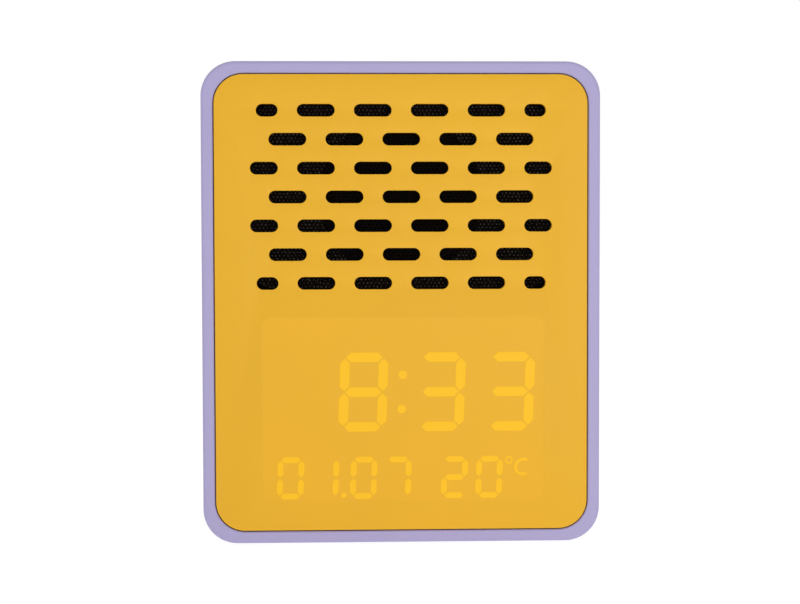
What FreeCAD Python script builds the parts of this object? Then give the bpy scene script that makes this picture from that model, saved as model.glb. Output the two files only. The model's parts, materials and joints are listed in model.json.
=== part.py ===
"""A talking table clock: a rounded sleeve with a loudspeaker and a light display behind its front panel.

Millimetres. The origin is on the table under the middle of the clock, +Z is up, and the front faces -Y.
Each piece is one object of the document, and its sizes are bound to the cells of the sheet called Sizes.
"""

import FreeCAD
import Part
import Sketcher

import math
import os

# Driving dimensions. Each name here is a cell of the sheet.
SIZES = {
    # the sleeve
    "case_width": 110.0,
    "case_height": 133.0,
    "case_depth": 60.0,
    "case_corner": 9.5,
    "case_wall": 3.25,
    "case_edge": 1.0,
    "mouth_edge": 0.3,
    # the ledge that the front panel is taped to
    "ledge_width": 5.5,
    "ledge_thick": 2.4,
    "tape_inset": 0.6,
    "tape_width": 4.0,
    "tape_thick": 0.3,
    # the four posts for the cover screws, and their webs
    "post_inset": 6.0,
    "post_radius": 3.0,
    "post_web": 1.6,
    # rubber feet
    "foot_radius": 5.0,
    "foot_thick": 2.0,
    "foot_proud": 0.8,
    "foot_edge": 0.4,
    "foot_clear": 0.15,
    "foot_side_inset": 16.0,
    "foot_front_inset": 12.0,
    # front panel
    "panel_gap": 0.35,
    "panel_setback": 0.1,
    "panel_thick": 2.0,
    "panel_corner": 8.0,
    "panel_edge": 0.3,
    # sound slots
    "grille_drop": 37.2,
    "slot_length": 10.4,
    "slot_medium": 7.7,
    "slot_short": 6.0,
    "slot_height": 3.5,
    "grille_side": 10.125,
    "row_pitch": 7.92,
    # sound mesh
    "mesh_margin": 1.6,
    "mesh_thick": 0.4,
    "mesh_corner": 8.0,
    # baffle
    "baffle_clear": 0.4,
    "baffle_thick": 2.0,
    "notch_clear": 0.5,
    "rib_width": 1.2,
    "driver_window": 22.65,
    "seat_thick": 1.5,
    "seat_margin": 0.6,
    "baffle_screw_inset": 3.0,
    "baffle_screw_rise": 36.0,
    # small screws
    "screw_radius": 1.0,
    "screw_clear": 0.25,
    "screw_fit": 0.05,
    "screw_head": 1.9,
    "screw_head_thick": 1.2,
    "screw_length": 3.6,
    "screw_end_room": 0.3,
    "recess_width": 0.5,
    "recess_depth": 0.6,
    # loudspeaker
    "gasket_thick": 1.0,
    "gasket_inner": 24.0,
    "flange_radius": 28.5,
    "flange_thick": 1.2,
    "flange_opening": 21.9,
    "driver_screw_span": 37.2,
    "driver_screw_length": 5.0,
    "basket_wall": 1.0,
    "basket_throat": 23.0,
    "basket_shoulder": 4.2,
    "basket_waist": 18.0,
    "spider_seat": 15.0,
    "spider_depth": 10.4,
    "basket_depth": 13.6,
    "base_thick": 1.0,
    "base_hole": 9.5,
    "basket_window": 7.0,
    "basket_window_rise": 3.0,
    "roll_centre": 20.2,
    "roll_half": 2.0,
    "roll_rise": 1.7,
    "roll_thick": 0.5,
    "surround_lip": 1.2,
    "surround_outer": 23.9,
    "cone_thick": 0.5,
    "cone_neck_depth": 8.6,
    "cap_radius": 8.2,
    "cap_rise": 2.4,
    "cap_thick": 0.4,
    "cap_gap": 0.05,
    "pole_radius": 6.2,
    "former_gap": 0.2,
    "former_thick": 0.2,
    "former_reach": 18.0,
    "coil_thick": 0.35,
    "coil_length": 5.0,
    "coil_gap": 0.3,
    "spider_thick": 0.4,
    "spider_wave_half": 0.6,
    "spider_wave_rise": 0.4,
    "spider_lip": 0.8,
    "spider_rim": 2.4,
    "plate_thick": 2.5,
    "plate_radius": 17.5,
    "magnet_radius": 19.0,
    "magnet_hole": 9.5,
    "magnet_thick": 8.0,
    "yoke_thick": 3.0,
    "tag_board_width": 13.0,
    "tag_board_height": 3.4,
    "tag_board_thick": 1.2,
    "tag_spread": 7.0,
    "tag_width": 1.6,
    "tag_thick": 0.5,
    "tag_length": 4.0,
    # light display
    "display_shift": 0.55,
    "display_rise": 37.0,
    "window_side": 12.5,
    "window_height": 51.5,
    "window_corner": 3.0,
    "window_gap": 0.3,
    "film_thick": 0.3,
    "display_boss_length": 2.6,
    "display_boss_radius": 2.2,
    "display_hole_side": 2.95,
    "display_hole_rise": 40.0,
    "display_margin_side": 5.6,
    "display_margin_top": 0.7,
    "display_board_corner": 6.0,
    "board_thick": 1.6,
    "led_room": 1.2,
    "led_wall": 0.8,
    "led_length": 1.6,
    "led_width": 0.8,
    "led_thick": 0.6,
    "time_height": 22.0,
    "time_stroke": 2.75,
    "time_rise": 4.9,
    "date_height": 11.75,
    "date_stroke": 1.65,
    "date_drop": 18.9,
    "segment_gap": 0.28,
    "digit_slant": 0.036,
    "colon_radius": 1.23,
    "colon_shift": -0.44,
    "colon_spread": 9.5,
    "point_radius": 0.8,
    "point_drop": 23.7,
    "degree_radius": 1.14,
    "degree_stroke": 0.55,
    "degree_drop": 14.2,
    "letter_width": 3.7,
    "letter_height": 4.9,
    "letter_stroke": 0.85,
    "letter_lead": 3.2,
    "letter_drop": 15.8,
    # rear cover
    "cover_inset": 1.2,
    "cover_gap": 0.25,
    "cover_thick": 2.4,
    "cover_edge": 0.3,
    "cover_screw_radius": 1.3,
    "cover_screw_head": 2.4,
    "cover_screw_head_thick": 1.4,
    "cover_screw_length": 9.0,
    "counterbore_clear": 0.3,
    "label_width": 58.0,
    "label_height": 26.0,
    "label_depth": 0.3,
    "label_corner": 2.0,
    "label_rise": 100.0,
    # main board
    "board_standoff": 7.8,
    "board_side": 9.75,
    "board_height": 52.0,
    "board_corner": 1.5,
    "board_rise": 38.0,
    "board_hole_inset": 4.0,
    "board_boss_radius": 2.8,
    # push switches
    "switch_side": 6.0,
    "switch_height": 3.5,
    "switch_total": 5.0,
    "switch_well": 2.4,
    "plunger_radius": 1.7,
    "plunger_gap": 0.08,
    "plunger_sink": 1.2,
    # the four round buttons on the back
    "button_rise": 53.0,
    "button_radius": 4.5,
    "button_gap": 0.3,
    "button_proud": 0.9,
    "button_edge": 0.5,
    "button_flange": 5.9,
    "button_flange_thick": 1.0,
    "button_stem": 1.6,
    "button_rest_gap": 0.2,
    "mark_size": 4.0,
    "mark_stroke": 0.8,
    "mark_proud": 0.2,
    # the talk bar on the top
    "talk_length": 44.0,
    "talk_radius": 8.0,
    "talk_gap": 0.3,
    "talk_proud": 0.8,
    "talk_edge": 0.7,
    "talk_flange": 1.7,
    "talk_flange_thick": 1.0,
    "talk_stem_radius": 2.4,
    "talk_stem_length": 2.0,
    "pip_radius": 0.9,
    "pip_proud": 0.2,
    "pip_pitch": 5.0,
    "talk_board_length": 66.0,
    "talk_board_width": 12.0,
    "talk_boss_span": 57.0,
    "talk_boss_radius": 2.5,
    # power slide switch
    "port_rise": 21.0,
    "slide_travel": 3.0,
    "slider_length": 6.0,
    "slider_height": 4.2,
    "slider_corner": 0.8,
    "slider_gap": 0.3,
    "slider_cover": 1.0,
    "slider_plate": 1.0,
    "slider_proud": 0.4,
    "slider_stem_side": 2.0,
    "slider_stem_length": 1.1,
    "grip_pitch": 1.2,
    "grip_width": 0.5,
    "grip_margin": 0.5,
    "grip_proud": 0.25,
    "slide_case_length": 9.0,
    "slide_case_height": 4.0,
    "slide_case_depth": 3.6,
    "slide_case_well": 2.4,
    "lever_side": 1.4,
    "lever_clear": 0.1,
    "lever_sink": 2.1,
    # power socket
    "inlet_length": 8.94,
    "inlet_height": 3.26,
    "inlet_wall": 0.3,
    "inlet_mouth_back": 1.1,
    "inlet_clear": 0.3,
    "inlet_recess_length": 13.0,
    "inlet_recess_height": 7.4,
    "inlet_recess_depth": 1.2,
    "inlet_tongue_width": 6.7,
    "inlet_tongue_thick": 0.7,
    "inlet_tongue_back": 1.0,
    "inlet_block": 3.0,
    "inlet_fit": 0.05,
    # temperature sensor and its vents
    "sensor_radius": 1.3,
    "sensor_stand": 3.0,
    "sensor_lead": 0.25,
    "sensor_lead_spread": 1.3,
    "vent_length": 10.0,
    "vent_height": 1.2,
    "vent_pitch": 3.0,
    # battery
    "cell_radius": 9.2,
    "cell_edge": 0.8,
    "nub_radius": 2.8,
    "nub_height": 1.0,
    "groove_depth": 0.5,
    "groove_width": 1.6,
    "groove_back": 4.0,
    "cell_clear": 0.3,
    "contact_room": 3.0,
    "contact_thick": 0.4,
    "contact_width": 8.0,
    "contact_height": 9.0,
    "holder_side": 13.75,
    "holder_wall": 1.2,
    "holder_end": 2.0,
    "holder_floor": 1.5,
    "holder_height": 13.0,
    "holder_back": -1.0,
    "holder_tape_thick": 0.8,
    "holder_tape_inset": 2.0,
    # wires, their plugs, and the small parts of the boards
    "wire_radius": 0.6,
    "wire_spread": 2.5,
    "wire_lead": 3.0,
    "speaker_plug_shift": -14.0,
    "talk_plug_shift": 24.0,
    "top_plug_rise": 58.0,
    "battery_plug_shift": 0.0,
    "battery_plug_rise": 30.0,
    "talk_wire_shift": 23.0,
    "talk_wire_back": 4.0,
    "socket_length": 7.0,
    "socket_height": 4.5,
    "socket_depth": 4.0,
    "plug_length": 6.0,
    "plug_height": 3.6,
    "plug_depth": 3.0,
    "ribbon_shift": 18.0,
    "ribbon_rise": 40.0,
    "ribbon_width": 12.0,
    "ribbon_thick": 0.3,
    "ribbon_dip": 6.0,
    "ribbon_socket_depth": 2.0,
    "ribbon_socket_height": 4.5,
    "ribbon_socket_margin": 1.0,
    "chip_thick": 1.4,
    "capacitor_radius": 3.15,
    "capacitor_length": 8.0,
    # room that a cutting tool runs past a face, and how far a pad runs into what it grows on
    "overrun": 1.0,
    "root": 0.5,
}

# Where each figure of the time and the date stands across the window, as shares of the window's width,
# and which of its seven bars are lit: top, upper right, lower right, bottom, lower left, upper left, middle.
TIME_SHARES = ((-0.3885, ""), (-0.1427, "abcdefg"), (0.1306, "abgcd"), (0.3758, "abgcd"))
DATE_SHARES = (
    (-0.4, "abcdef"),
    (-0.277, "bc"),
    (-0.1425, "abcdef"),
    (-0.0215, "abc"),
    (0.1785, "abged"),
    (0.301, "abcdef"),
)
# How wide a figure is, and where the date's point and the degree sign stand, as shares of the window's width.
TIME_WIDTH_SHARE = 0.1707
DATE_WIDTH_SHARE = 0.0943
POINT_SHARE = -0.2127
DEGREE_SHARE = 0.372
# The two ends of each bar, as shares of half the figure's width and height.
BAR_SHARES = {
    "a": ((-1, 1), (1, 1)),
    "b": ((1, 0), (1, 1)),
    "c": ((1, -1), (1, 0)),
    "d": ((-1, -1), (1, -1)),
    "e": ((-1, -1), (-1, 0)),
    "f": ((-1, 0), (-1, 1)),
    "g": ((-1, 0), (1, 0)),
}
# Small parts on the main board's front, as shares of its width and height: place across and up, then size.
CHIP_SHARES = (
    (-0.24, 0.15, 0.1, 0.12),
    (0.02, 0.19, 0.12, 0.19),
    (-0.12, -0.02, 0.06, 0.08),
    (0.36, -0.1, 0.07, 0.08),
)
CAPACITOR_SHARES = ((-0.36, 0.04), (-0.36, -0.14), (0.36, 0.12))
# What lies on the back, as shares of the span of the main board's screws: the pitch of the buttons, and the
# places of the power switch and the temperature sensor.
BUTTON_PITCH_SHARE = 0.2368
SWITCH_SHARE = -0.329
SENSOR_SHARE = 0.342
# How far a wire's curve is drawn out at its two ends, as a share of the straight way between them.
BEND_SHARE = 0.4
# How much of the shorter of two runs the arc between them takes up.
ARC_SHARE = 0.45
# The middle points of the ribbon's loop: share of the way between its sockets, and share of its dip.
RIBBON_SHARES = ((0.2, 0), (0.4, 1), (0.6, 1), (0.8, 0))
# A run of a wire is about this many times as long as its straight lead.
RUN_LEADS = 3
# How far a sweep's volume may be from its section times its length, as a share of it.
VOLUME_SHARE = 0.01


class Size:
    """A length that keeps the formula it came from, so that a feature can be bound to the sheet's cells."""

    def __init__(self, number, formula):
        self.number = float(number)
        self.formula = formula

    def __float__(self):
        return self.number

    def __neg__(self):
        return Size(-self.number, f"(-1 * {self.formula})")

    def __add__(self, other):
        return Size(self.number + float(other), f"({self.formula} + {formula_of(other)})")

    def __radd__(self, other):
        return Size(float(other) + self.number, f"({formula_of(other)} + {self.formula})")

    def __sub__(self, other):
        return Size(self.number - float(other), f"({self.formula} - {formula_of(other)})")

    def __mul__(self, other):
        return Size(self.number * float(other), f"({self.formula} * {formula_of(other)})")

    def __rmul__(self, other):
        return Size(float(other) * self.number, f"({formula_of(other)} * {self.formula})")

    def __truediv__(self, other):
        return Size(self.number / float(other), f"({self.formula} / {formula_of(other)})")


def formula_of(value):
    """The text of a size or a plain number inside a formula."""
    return value.formula if isinstance(value, Size) else repr(float(value))


class Cells:
    """The sheet's cells, read as sizes: cells.case_width."""

    def __init__(self, sheet, names):
        for name in names:
            setattr(self, name, Size(sheet.get(name), "Sizes." + name))


doc = FreeCAD.newDocument("talking_clock")
sheet = doc.addObject("Spreadsheet::Sheet", "Sizes")
for row, (name, number) in enumerate(SIZES.items(), start=1):
    sheet.set(f"A{row}", name)
    sheet.set(f"B{row}", str(number))
    sheet.setAlias(f"B{row}", name)
doc.recompute()
s = Cells(sheet, SIZES)
ZERO = Size(0, "0")

# The objects that become files, one for each sub-part.
pieces = []


def bind(thing, prop, size):
    """Sets a property and binds it to the sheet."""
    thing.setExpression(prop, formula_of(size))


def place(thing, x, y, z):
    """Binds where a piece's own frame stands."""
    for axis, size in zip("xyz", (x, y, z)):
        bind(thing, f"Placement.Base.{axis}", size)


def new_body(label, alone=True):
    """A body of features, which may hold several solids. Alone, it becomes the sub-part of that name."""
    body = doc.addObject("PartDesign::Body", label)
    body.AllowCompound = True
    if alone:
        pieces.append(body)
    return body


def turned(body, axis, degrees):
    """Turns a body's own frame, before place() moves it."""
    body.Placement = FreeCAD.Placement(FreeCAD.Vector(), FreeCAD.Rotation(axis, degrees))
    return body


X_AXIS = FreeCAD.Vector(1, 0, 0)
Y_AXIS = FreeCAD.Vector(0, 1, 0)
Z_AXIS = FreeCAD.Vector(0, 0, 1)


def new_sketch(body, plane, across, up, along):
    """A sketch on one of the body's own planes, centred at (across, up) and moved along the plane's + axis.

    On XZ it lies at y = along, on XY at z = along and on YZ at x = along.
    """
    sketch = body.newObject("Sketcher::SketchObject", body.Name + "_sketch")
    origin_plane = next(f for f in body.Origin.OriginFeatures if f.Role == plane + "_Plane")
    sketch.AttachmentSupport = [(origin_plane, "")]
    sketch.MapMode = "FlatFace"
    bind(sketch, "AttachmentOffset.Base.x", across)
    bind(sketch, "AttachmentOffset.Base.y", up)
    bind(sketch, "AttachmentOffset.Base.z", -along if plane == "XZ" else along)
    return sketch


def dimension(sketch, constraint, size):
    """Adds a dimension to a sketch and binds it to the sheet."""
    index = sketch.addConstraint(constraint)
    sketch.renameConstraint(index, f"size_{index}")
    bind(sketch, f"Constraints.size_{index}", size)


def arc(x, y, radius, start, end):
    """An arc of a sketch, from one angle to another in quarter turns."""
    circle = Part.Circle(FreeCAD.Vector(x, y, 0), Z_AXIS, radius)
    return Part.ArcOfCircle(circle, start * math.pi / 2, end * math.pi / 2)


def line(x1, y1, x2, y2):
    """A straight run of a sketch."""
    return Part.LineSegment(FreeCAD.Vector(x1, y1, 0), FreeCAD.Vector(x2, y2, 0))


def tangent_loop(sketch, shapes):
    """Adds curves that join end to end, each tangent to the next, and returns their numbers."""
    loop = [sketch.addGeometry(shape, False) for shape in shapes]
    following = loop[1:] + loop[:1]
    sketch.addConstraint([Sketcher.Constraint("Tangent", a, 2, b, 1) for a, b in zip(loop, following)])
    return loop


def rounded_rectangle(sketch, width, height, corner):
    """A rectangle with round corners about the sketch's middle."""
    a, b, c = float(width) / 2, float(height) / 2, float(corner)
    loop = tangent_loop(
        sketch,
        [
            line(-a + c, -b, a - c, -b),
            arc(a - c, -b + c, c, -1, 0),
            line(a, -b + c, a, b - c),
            arc(a - c, b - c, c, 0, 1),
            line(a - c, b, -a + c, b),
            arc(-a + c, b - c, c, 1, 2),
            line(-a, b - c, -a, -b + c),
            arc(-a + c, -b + c, c, 2, 3),
        ],
    )
    bottom, first, right, second, top, third, left, fourth = loop
    sketch.addConstraint(
        [
            Sketcher.Constraint("Horizontal", bottom),
            Sketcher.Constraint("Horizontal", top),
            Sketcher.Constraint("Vertical", right),
            Sketcher.Constraint("Vertical", left),
            Sketcher.Constraint("Equal", first, second),
            Sketcher.Constraint("Equal", second, third),
            Sketcher.Constraint("Equal", third, fourth),
            Sketcher.Constraint("Symmetric", bottom, 1, top, 1, -1, 1),
        ]
    )
    dimension(sketch, Sketcher.Constraint("Radius", first, c), corner)
    dimension(sketch, Sketcher.Constraint("DistanceX", left, 1, right, 1, 2 * a), width)
    dimension(sketch, Sketcher.Constraint("DistanceY", bottom, 1, top, 1, 2 * b), height)


def stadium(sketch, length, height):
    """A slot with round ends, lying level about the sketch's middle."""
    r = float(height) / 2
    a = float(length) / 2 - r
    loop = tangent_loop(
        sketch,
        [line(-a, -r, a, -r), arc(a, 0, r, -1, 1), line(a, r, -a, r), arc(-a, 0, r, 1, 3)],
    )
    bottom, right, top, left = loop
    sketch.addConstraint(
        [
            Sketcher.Constraint("Horizontal", bottom),
            Sketcher.Constraint("Symmetric", bottom, 1, top, 1, -1, 1),
        ]
    )
    dimension(sketch, Sketcher.Constraint("Radius", right, r), height / 2)
    dimension(sketch, Sketcher.Constraint("DistanceX", left, 3, right, 3, 2 * a), length - height)


def circle(sketch, radius):
    """A circle about the sketch's middle."""
    number = sketch.addGeometry(Part.Circle(FreeCAD.Vector(), Z_AXIS, float(radius)), False)
    sketch.addConstraint(Sketcher.Constraint("Coincident", number, 3, -1, 1))
    dimension(sketch, Sketcher.Constraint("Radius", number, float(radius)), radius)


def outline(sketch, points):
    """A closed outline through points (x, y). A point (x, y, radius) is reached by an arc of that radius.

    The arc bulges to the right of its way if the radius is above zero, and to the left if it is below.
    """
    spots = [FreeCAD.Vector(float(p[0]), float(p[1]), 0) for p in points]
    count = len(points)
    runs = []
    for i in range(count):
        begin, end = spots[i], spots[(i + 1) % count]
        target = points[(i + 1) % count]
        if len(target) == 2:
            runs.append((sketch.addGeometry(Part.LineSegment(begin, end), False), 1, 2))
            continue
        radius = float(target[2])
        chord = end - begin
        half = chord.Length / 2
        rise = math.sqrt(max(radius * radius - half * half, 0))
        right = FreeCAD.Vector(chord.y, -chord.x, 0) * (1 / chord.Length)
        side = 1 if radius > 0 else -1
        centre = (begin + end) * 0.5 - right * (side * rise)
        first, last = (begin, end) if radius > 0 else (end, begin)
        start = math.atan2(first.y - centre.y, first.x - centre.x)
        stop = math.atan2(last.y - centre.y, last.x - centre.x)
        if stop <= start:
            stop += 2 * math.pi
        number = sketch.addGeometry(
            Part.ArcOfCircle(Part.Circle(centre, Z_AXIS, abs(radius)), start, stop), False
        )
        runs.append((number, 1, 2) if radius > 0 else (number, 2, 1))
    for i in range(count):
        number, begin, end = runs[i]
        following, next_begin, _ = runs[(i + 1) % count]
        sketch.addConstraint(Sketcher.Constraint("Coincident", number, end, following, next_begin))
        for kind, size in zip(("DistanceX", "DistanceY"), points[i][:2]):
            if float(size) == 0:
                axis = -2 if kind == "DistanceX" else -1
                sketch.addConstraint(Sketcher.Constraint("PointOnObject", number, begin, axis))
            else:
                dimension(sketch, Sketcher.Constraint(kind, -1, 1, number, begin, float(size)), size)
        target = points[(i + 1) % count]
        if len(target) == 3:
            dimension(
                sketch,
                Sketcher.Constraint("Radius", number, abs(float(target[2]))),
                target[2] if float(target[2]) > 0 else -target[2],
            )


def rectangle(sketch, width, height):
    """A square-cornered rectangle about the sketch's middle."""
    a, b = width / 2, height / 2
    outline(sketch, [(-a, -b), (a, -b), (a, b), (-a, b)])


def cross(sketch, size, stroke):
    """A plus sign about the sketch's middle."""
    a, b = size / 2, stroke / 2
    outline(
        sketch,
        [(-a, -b), (-b, -b), (-b, -a), (b, -a), (b, -b), (a, -b)]
        + [(a, b), (b, b), (b, a), (-b, a), (-b, b), (-a, b)],
    )


def on_xz(sketch):
    """Whether a sketch lies on the XZ plane, whose own normal points to the front."""
    return sketch.AttachmentSupport[0][0].Role == "XZ_Plane"


def pad(body, sketch, length):
    """Grows a sketch along its plane's + axis: +Y, +Z or +X."""
    feature = body.newObject("PartDesign::Pad", body.Name + "_pad")
    feature.Profile = sketch
    feature.Reversed = on_xz(sketch)
    bind(feature, "Length", length)
    return feature


def pocket(body, sketch, length):
    """Cuts a sketch along its plane's + axis: +Y, +Z or +X. It has to take something away."""
    before = volume_of(body)
    feature = body.newObject("PartDesign::Pocket", body.Name + "_pocket")
    feature.Profile = sketch
    feature.Reversed = not on_xz(sketch)
    bind(feature, "Length", length)
    check_cut(body, feature, before)
    return feature


def holes(body, plane, first, radius, depth, spans, rows=2):
    """Drills a grid of holes, two across. first is the first one's (across, up, along)."""
    sketch = new_sketch(body, plane, *first)
    circle(sketch, radius)
    cut = pocket(body, sketch, depth)
    pattern(body, [cut], sketch, *spans, 2, rows)


def bosses(body, plane, first, radius, length, spans, rows=2):
    """Grows a grid of round bosses, two across."""
    sketch = new_sketch(body, plane, *first)
    circle(sketch, radius)
    grown = pad(body, sketch, length)
    pattern(body, [grown], sketch, *spans, 2, rows)


def volume_of(body):
    """The body's volume up to its last feature."""
    doc.recompute()
    return body.Tip.Shape.Volume


def check_cut(body, feature, before):
    """Stops the build if a cutting feature took nothing away."""
    if not volume_of(body) < before:
        raise RuntimeError(f"{body.Label}: {feature.Name} cuts nothing")


def pattern(body, originals, sketch, span_across, span_up, count_across=2, count_up=2, up="V_Axis"):
    """Repeats features in a grid along the sketch's own axes."""
    feature = body.newObject("PartDesign::LinearPattern", body.Name + "_grid")
    feature.Originals = originals
    feature.Direction = (sketch, ["H_Axis"])
    bind(feature, "Length", span_across)
    feature.Occurrences = count_across
    if count_up > 1:
        feature.Direction2 = (sketch, [up])
        bind(feature, "Length2", span_up)
        feature.Occurrences2 = count_up
    body.Tip = feature
    return feature


def around(body, originals, sketch, count):
    """Repeats features evenly about the sketch's upright axis."""
    feature = body.newObject("PartDesign::PolarPattern", body.Name + "_ring")
    feature.Originals = originals
    feature.Axis = (sketch, ["V_Axis"])
    feature.Angle = 360
    feature.Occurrences = count
    body.Tip = feature
    return feature


def revolve(body, points):
    """Turns an outline of (radius, height) about the body's own Z axis."""
    sketch = new_sketch(body, "XZ", ZERO, ZERO, ZERO)
    outline(sketch, points)
    feature = body.newObject("PartDesign::Revolution", body.Name + "_turned")
    feature.Profile = sketch
    feature.ReferenceAxis = (sketch, ["V_Axis"])
    feature.Angle = 360
    doc.recompute()
    return feature, sketch


def edges_in(body, low, high, fits=lambda edge: True):
    """Names of the edges of the body's last feature that lie wholly between two corners."""
    doc.recompute()
    box = FreeCAD.BoundBox(*[float(v) for v in low], *[float(v) for v in high])
    edges = body.Tip.Shape.Edges
    return [f"Edge{i}" for i, e in enumerate(edges, start=1) if box.isInside(e.BoundBox) and fits(e)]


def soften(body, kind, edges, size):
    """A fillet or chamfer on named edges of the body's last feature."""
    base = body.Tip
    feature = body.newObject("PartDesign::" + kind, body.Name + "_" + kind.lower())
    feature.Base = (base, edges)
    bind(feature, "Radius" if kind == "Fillet" else "Size", size)
    return feature


def box(width, depth, height, x, y, z):
    """A plain block with its lowest corner at (x, y, z)."""
    block = doc.addObject("Part::Box", "block")
    for prop, size in zip(("Length", "Width", "Height"), (width, depth, height)):
        bind(block, prop, size)
    place(block, x, y, z)
    return block


def group(label, members):
    """Separate solids that share one sub-part."""
    compound = doc.addObject("Part::Compound", label)
    compound.Links = members
    pieces.append(compound)
    return compound


def shaped(label, shape, alone=True):
    """An object whose shape is worked out here from the sheet's numbers. Alone, it is a sub-part."""
    feature = doc.addObject("Part::Feature", label)
    feature.Shape = shape
    feature.Placement = FreeCAD.Placement()
    if alone:
        pieces.append(feature)
    return feature


# Places that several pieces share, from the front to the back and from the table up.
front = -s.case_depth / 2
rear = s.case_depth / 2
case_bottom = s.foot_proud
case_mid = case_bottom + s.case_height / 2
case_top = case_bottom + s.case_height
floor_top = case_bottom + s.case_wall
roof = case_top - s.case_wall
mouth_width = s.case_width - 2 * s.case_wall
mouth_height = s.case_height - 2 * s.case_wall
mouth_corner = s.panel_corner + s.panel_gap
panel_front = front + s.panel_setback
panel_back = panel_front + s.panel_thick
ledge_front = panel_back + s.tape_thick
ledge_back = ledge_front + s.ledge_thick
baffle_back = ledge_back + s.baffle_thick
seat_back = baffle_back + s.seat_thick
driver_front = seat_back + s.gasket_thick
cover_outer = rear - s.cover_inset
cover_inner = cover_outer - s.cover_thick
board_rear = cover_inner - s.board_standoff
board_front = board_rear - s.board_thick
grille_z = case_top - s.grille_drop
display_x = s.display_shift
display_z = case_bottom + s.display_rise
window_width = mouth_width - 2 * s.window_side
film_back = panel_back + s.film_thick
display_front = baffle_back + s.display_boss_length
display_back = display_front + s.board_thick
post_span_x = mouth_width - 2 * s.post_inset
post_span_z = mouth_height - 2 * s.post_inset
post_low = case_mid - post_span_z / 2
grille_half = mouth_width / 2 - s.grille_side
slot_pitch = (grille_half - s.slot_medium + s.slot_length / 2) / 2.5
mesh_width = 2 * (grille_half + s.mesh_margin)
mesh_height = 6 * s.row_pitch + s.slot_height + 2 * s.mesh_margin
baffle_screw_span = mouth_width - 2 * s.baffle_screw_inset
baffle_screw_low = case_mid - s.baffle_screw_rise
display_hole_span = window_width + 2 * s.display_hole_side
display_hole_x = display_x - display_hole_span / 2
display_hole_z = display_z - s.display_hole_rise / 2
driver_hole_low = grille_z - s.driver_screw_span / 2
board_width = mouth_width - 2 * s.board_side
board_hole_span = board_width - 2 * s.board_hole_inset
board_hole_rise = s.board_height - 2 * s.board_hole_inset
board_hole_low = s.board_rise - board_hole_rise / 2
button_pitch = BUTTON_PITCH_SHARE * board_hole_span
switch_x = SWITCH_SHARE * board_hole_span
sensor_x = SENSOR_SHARE * board_hole_span
push_tip = board_rear + s.switch_total
screw_hole = s.screw_radius + s.screw_fit
screw_pass = s.screw_radius + s.screw_clear
talk_flange_top = roof - s.button_rest_gap
talk_tip = talk_flange_top - s.talk_flange_thick - s.talk_stem_length
talk_board_top = talk_tip - s.switch_total
foot_x = s.case_width / 2 - s.foot_side_inset
foot_y = s.case_depth / 2 - s.foot_front_inset
former_inner = s.pole_radius + s.former_gap
former_outer = former_inner + s.former_thick
coil_outer = former_outer + s.coil_thick
cone_rim = s.roll_centre - s.roll_half
holder_bottom = floor_top + s.holder_tape_thick
cell_z = holder_bottom + s.holder_floor + s.cell_clear + s.cell_radius
holder_length = mouth_width - 2 * s.holder_side
holder_room = holder_length - 2 * s.holder_end
cell_length = holder_room - s.nub_height - 2 * s.contact_room
holder_depth = 2 * (s.cell_radius + s.cell_clear + s.holder_wall)


def make_housing():
    """The sleeve: its wall, the ledge behind the front panel, the cover's posts and every seat in it."""
    body = new_body("housing")
    shell = new_sketch(body, "XZ", ZERO, case_mid, front)
    rounded_rectangle(shell, s.case_width, s.case_height, s.case_corner)
    pad(body, shell, s.case_depth)
    mouth = new_sketch(body, "XZ", ZERO, case_mid, front - s.overrun)
    rounded_rectangle(mouth, mouth_width, mouth_height, mouth_corner)
    pocket(body, mouth, s.case_depth + 2 * s.overrun)
    soften(body, "Fillet", rim_edges(body, front, True) + rim_edges(body, rear, True), s.case_edge)
    soften(body, "Chamfer", rim_edges(body, front, False) + rim_edges(body, rear, False), s.mouth_edge)
    add_ledge_and_posts(body, shell)

    reach = s.screw_length - s.baffle_thick + s.screw_end_room
    first = (-baffle_screw_span / 2, baffle_screw_low, ledge_back - reach)
    holes(body, "XZ", first, screw_hole, reach, (baffle_screw_span, 2 * s.baffle_screw_rise))

    first = (-s.talk_boss_span / 2, ZERO, talk_board_top)
    bosses(body, "XY", first, s.talk_boss_radius, roof - talk_board_top + s.root, (s.talk_boss_span, ZERO), 1)
    reach = s.screw_length - s.board_thick + s.screw_end_room
    first = (-s.talk_boss_span / 2, ZERO, talk_board_top - s.overrun)
    holes(body, "XY", first, screw_hole, reach + s.overrun, (s.talk_boss_span, ZERO), 1)

    talk = new_sketch(body, "XY", ZERO, ZERO, roof - s.overrun)
    stadium(talk, s.talk_length + 2 * s.talk_gap, 2 * (s.talk_radius + s.talk_gap))
    pocket(body, talk, s.case_wall + 2 * s.overrun)
    reach = s.talk_length / 2 + s.talk_gap + s.mouth_edge
    rim = edges_in(body, (-reach, -reach, case_top - s.mouth_edge), (reach, reach, case_top + s.mouth_edge))
    soften(body, "Chamfer", rim, s.mouth_edge)

    seat = s.foot_thick - s.foot_proud
    first = (-foot_x, -foot_y, case_bottom - s.overrun)
    holes(body, "XY", first, s.foot_radius + s.foot_clear, seat + s.overrun, (2 * foot_x, 2 * foot_y))


def rim_edges(body, y, outer):
    """The edges round the sleeve's outside, or round its mouth, at one of its two ends."""
    slip = s.mouth_edge / 2
    half_width, half_height = s.case_width / 2 + slip, s.case_height / 2 + slip
    low = (-half_width, y - slip, case_mid - half_height)
    high = (half_width, y + slip, case_mid + half_height)

    def on_that_loop(edge):
        wide = max(abs(v.X) for v in edge.Vertexes) > float(mouth_width / 2 + slip)
        tall = max(abs(v.Z - float(case_mid)) for v in edge.Vertexes) > float(mouth_height / 2 + slip)
        return (wide or tall) == outer

    return edges_in(body, low, high, on_that_loop)


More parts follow.
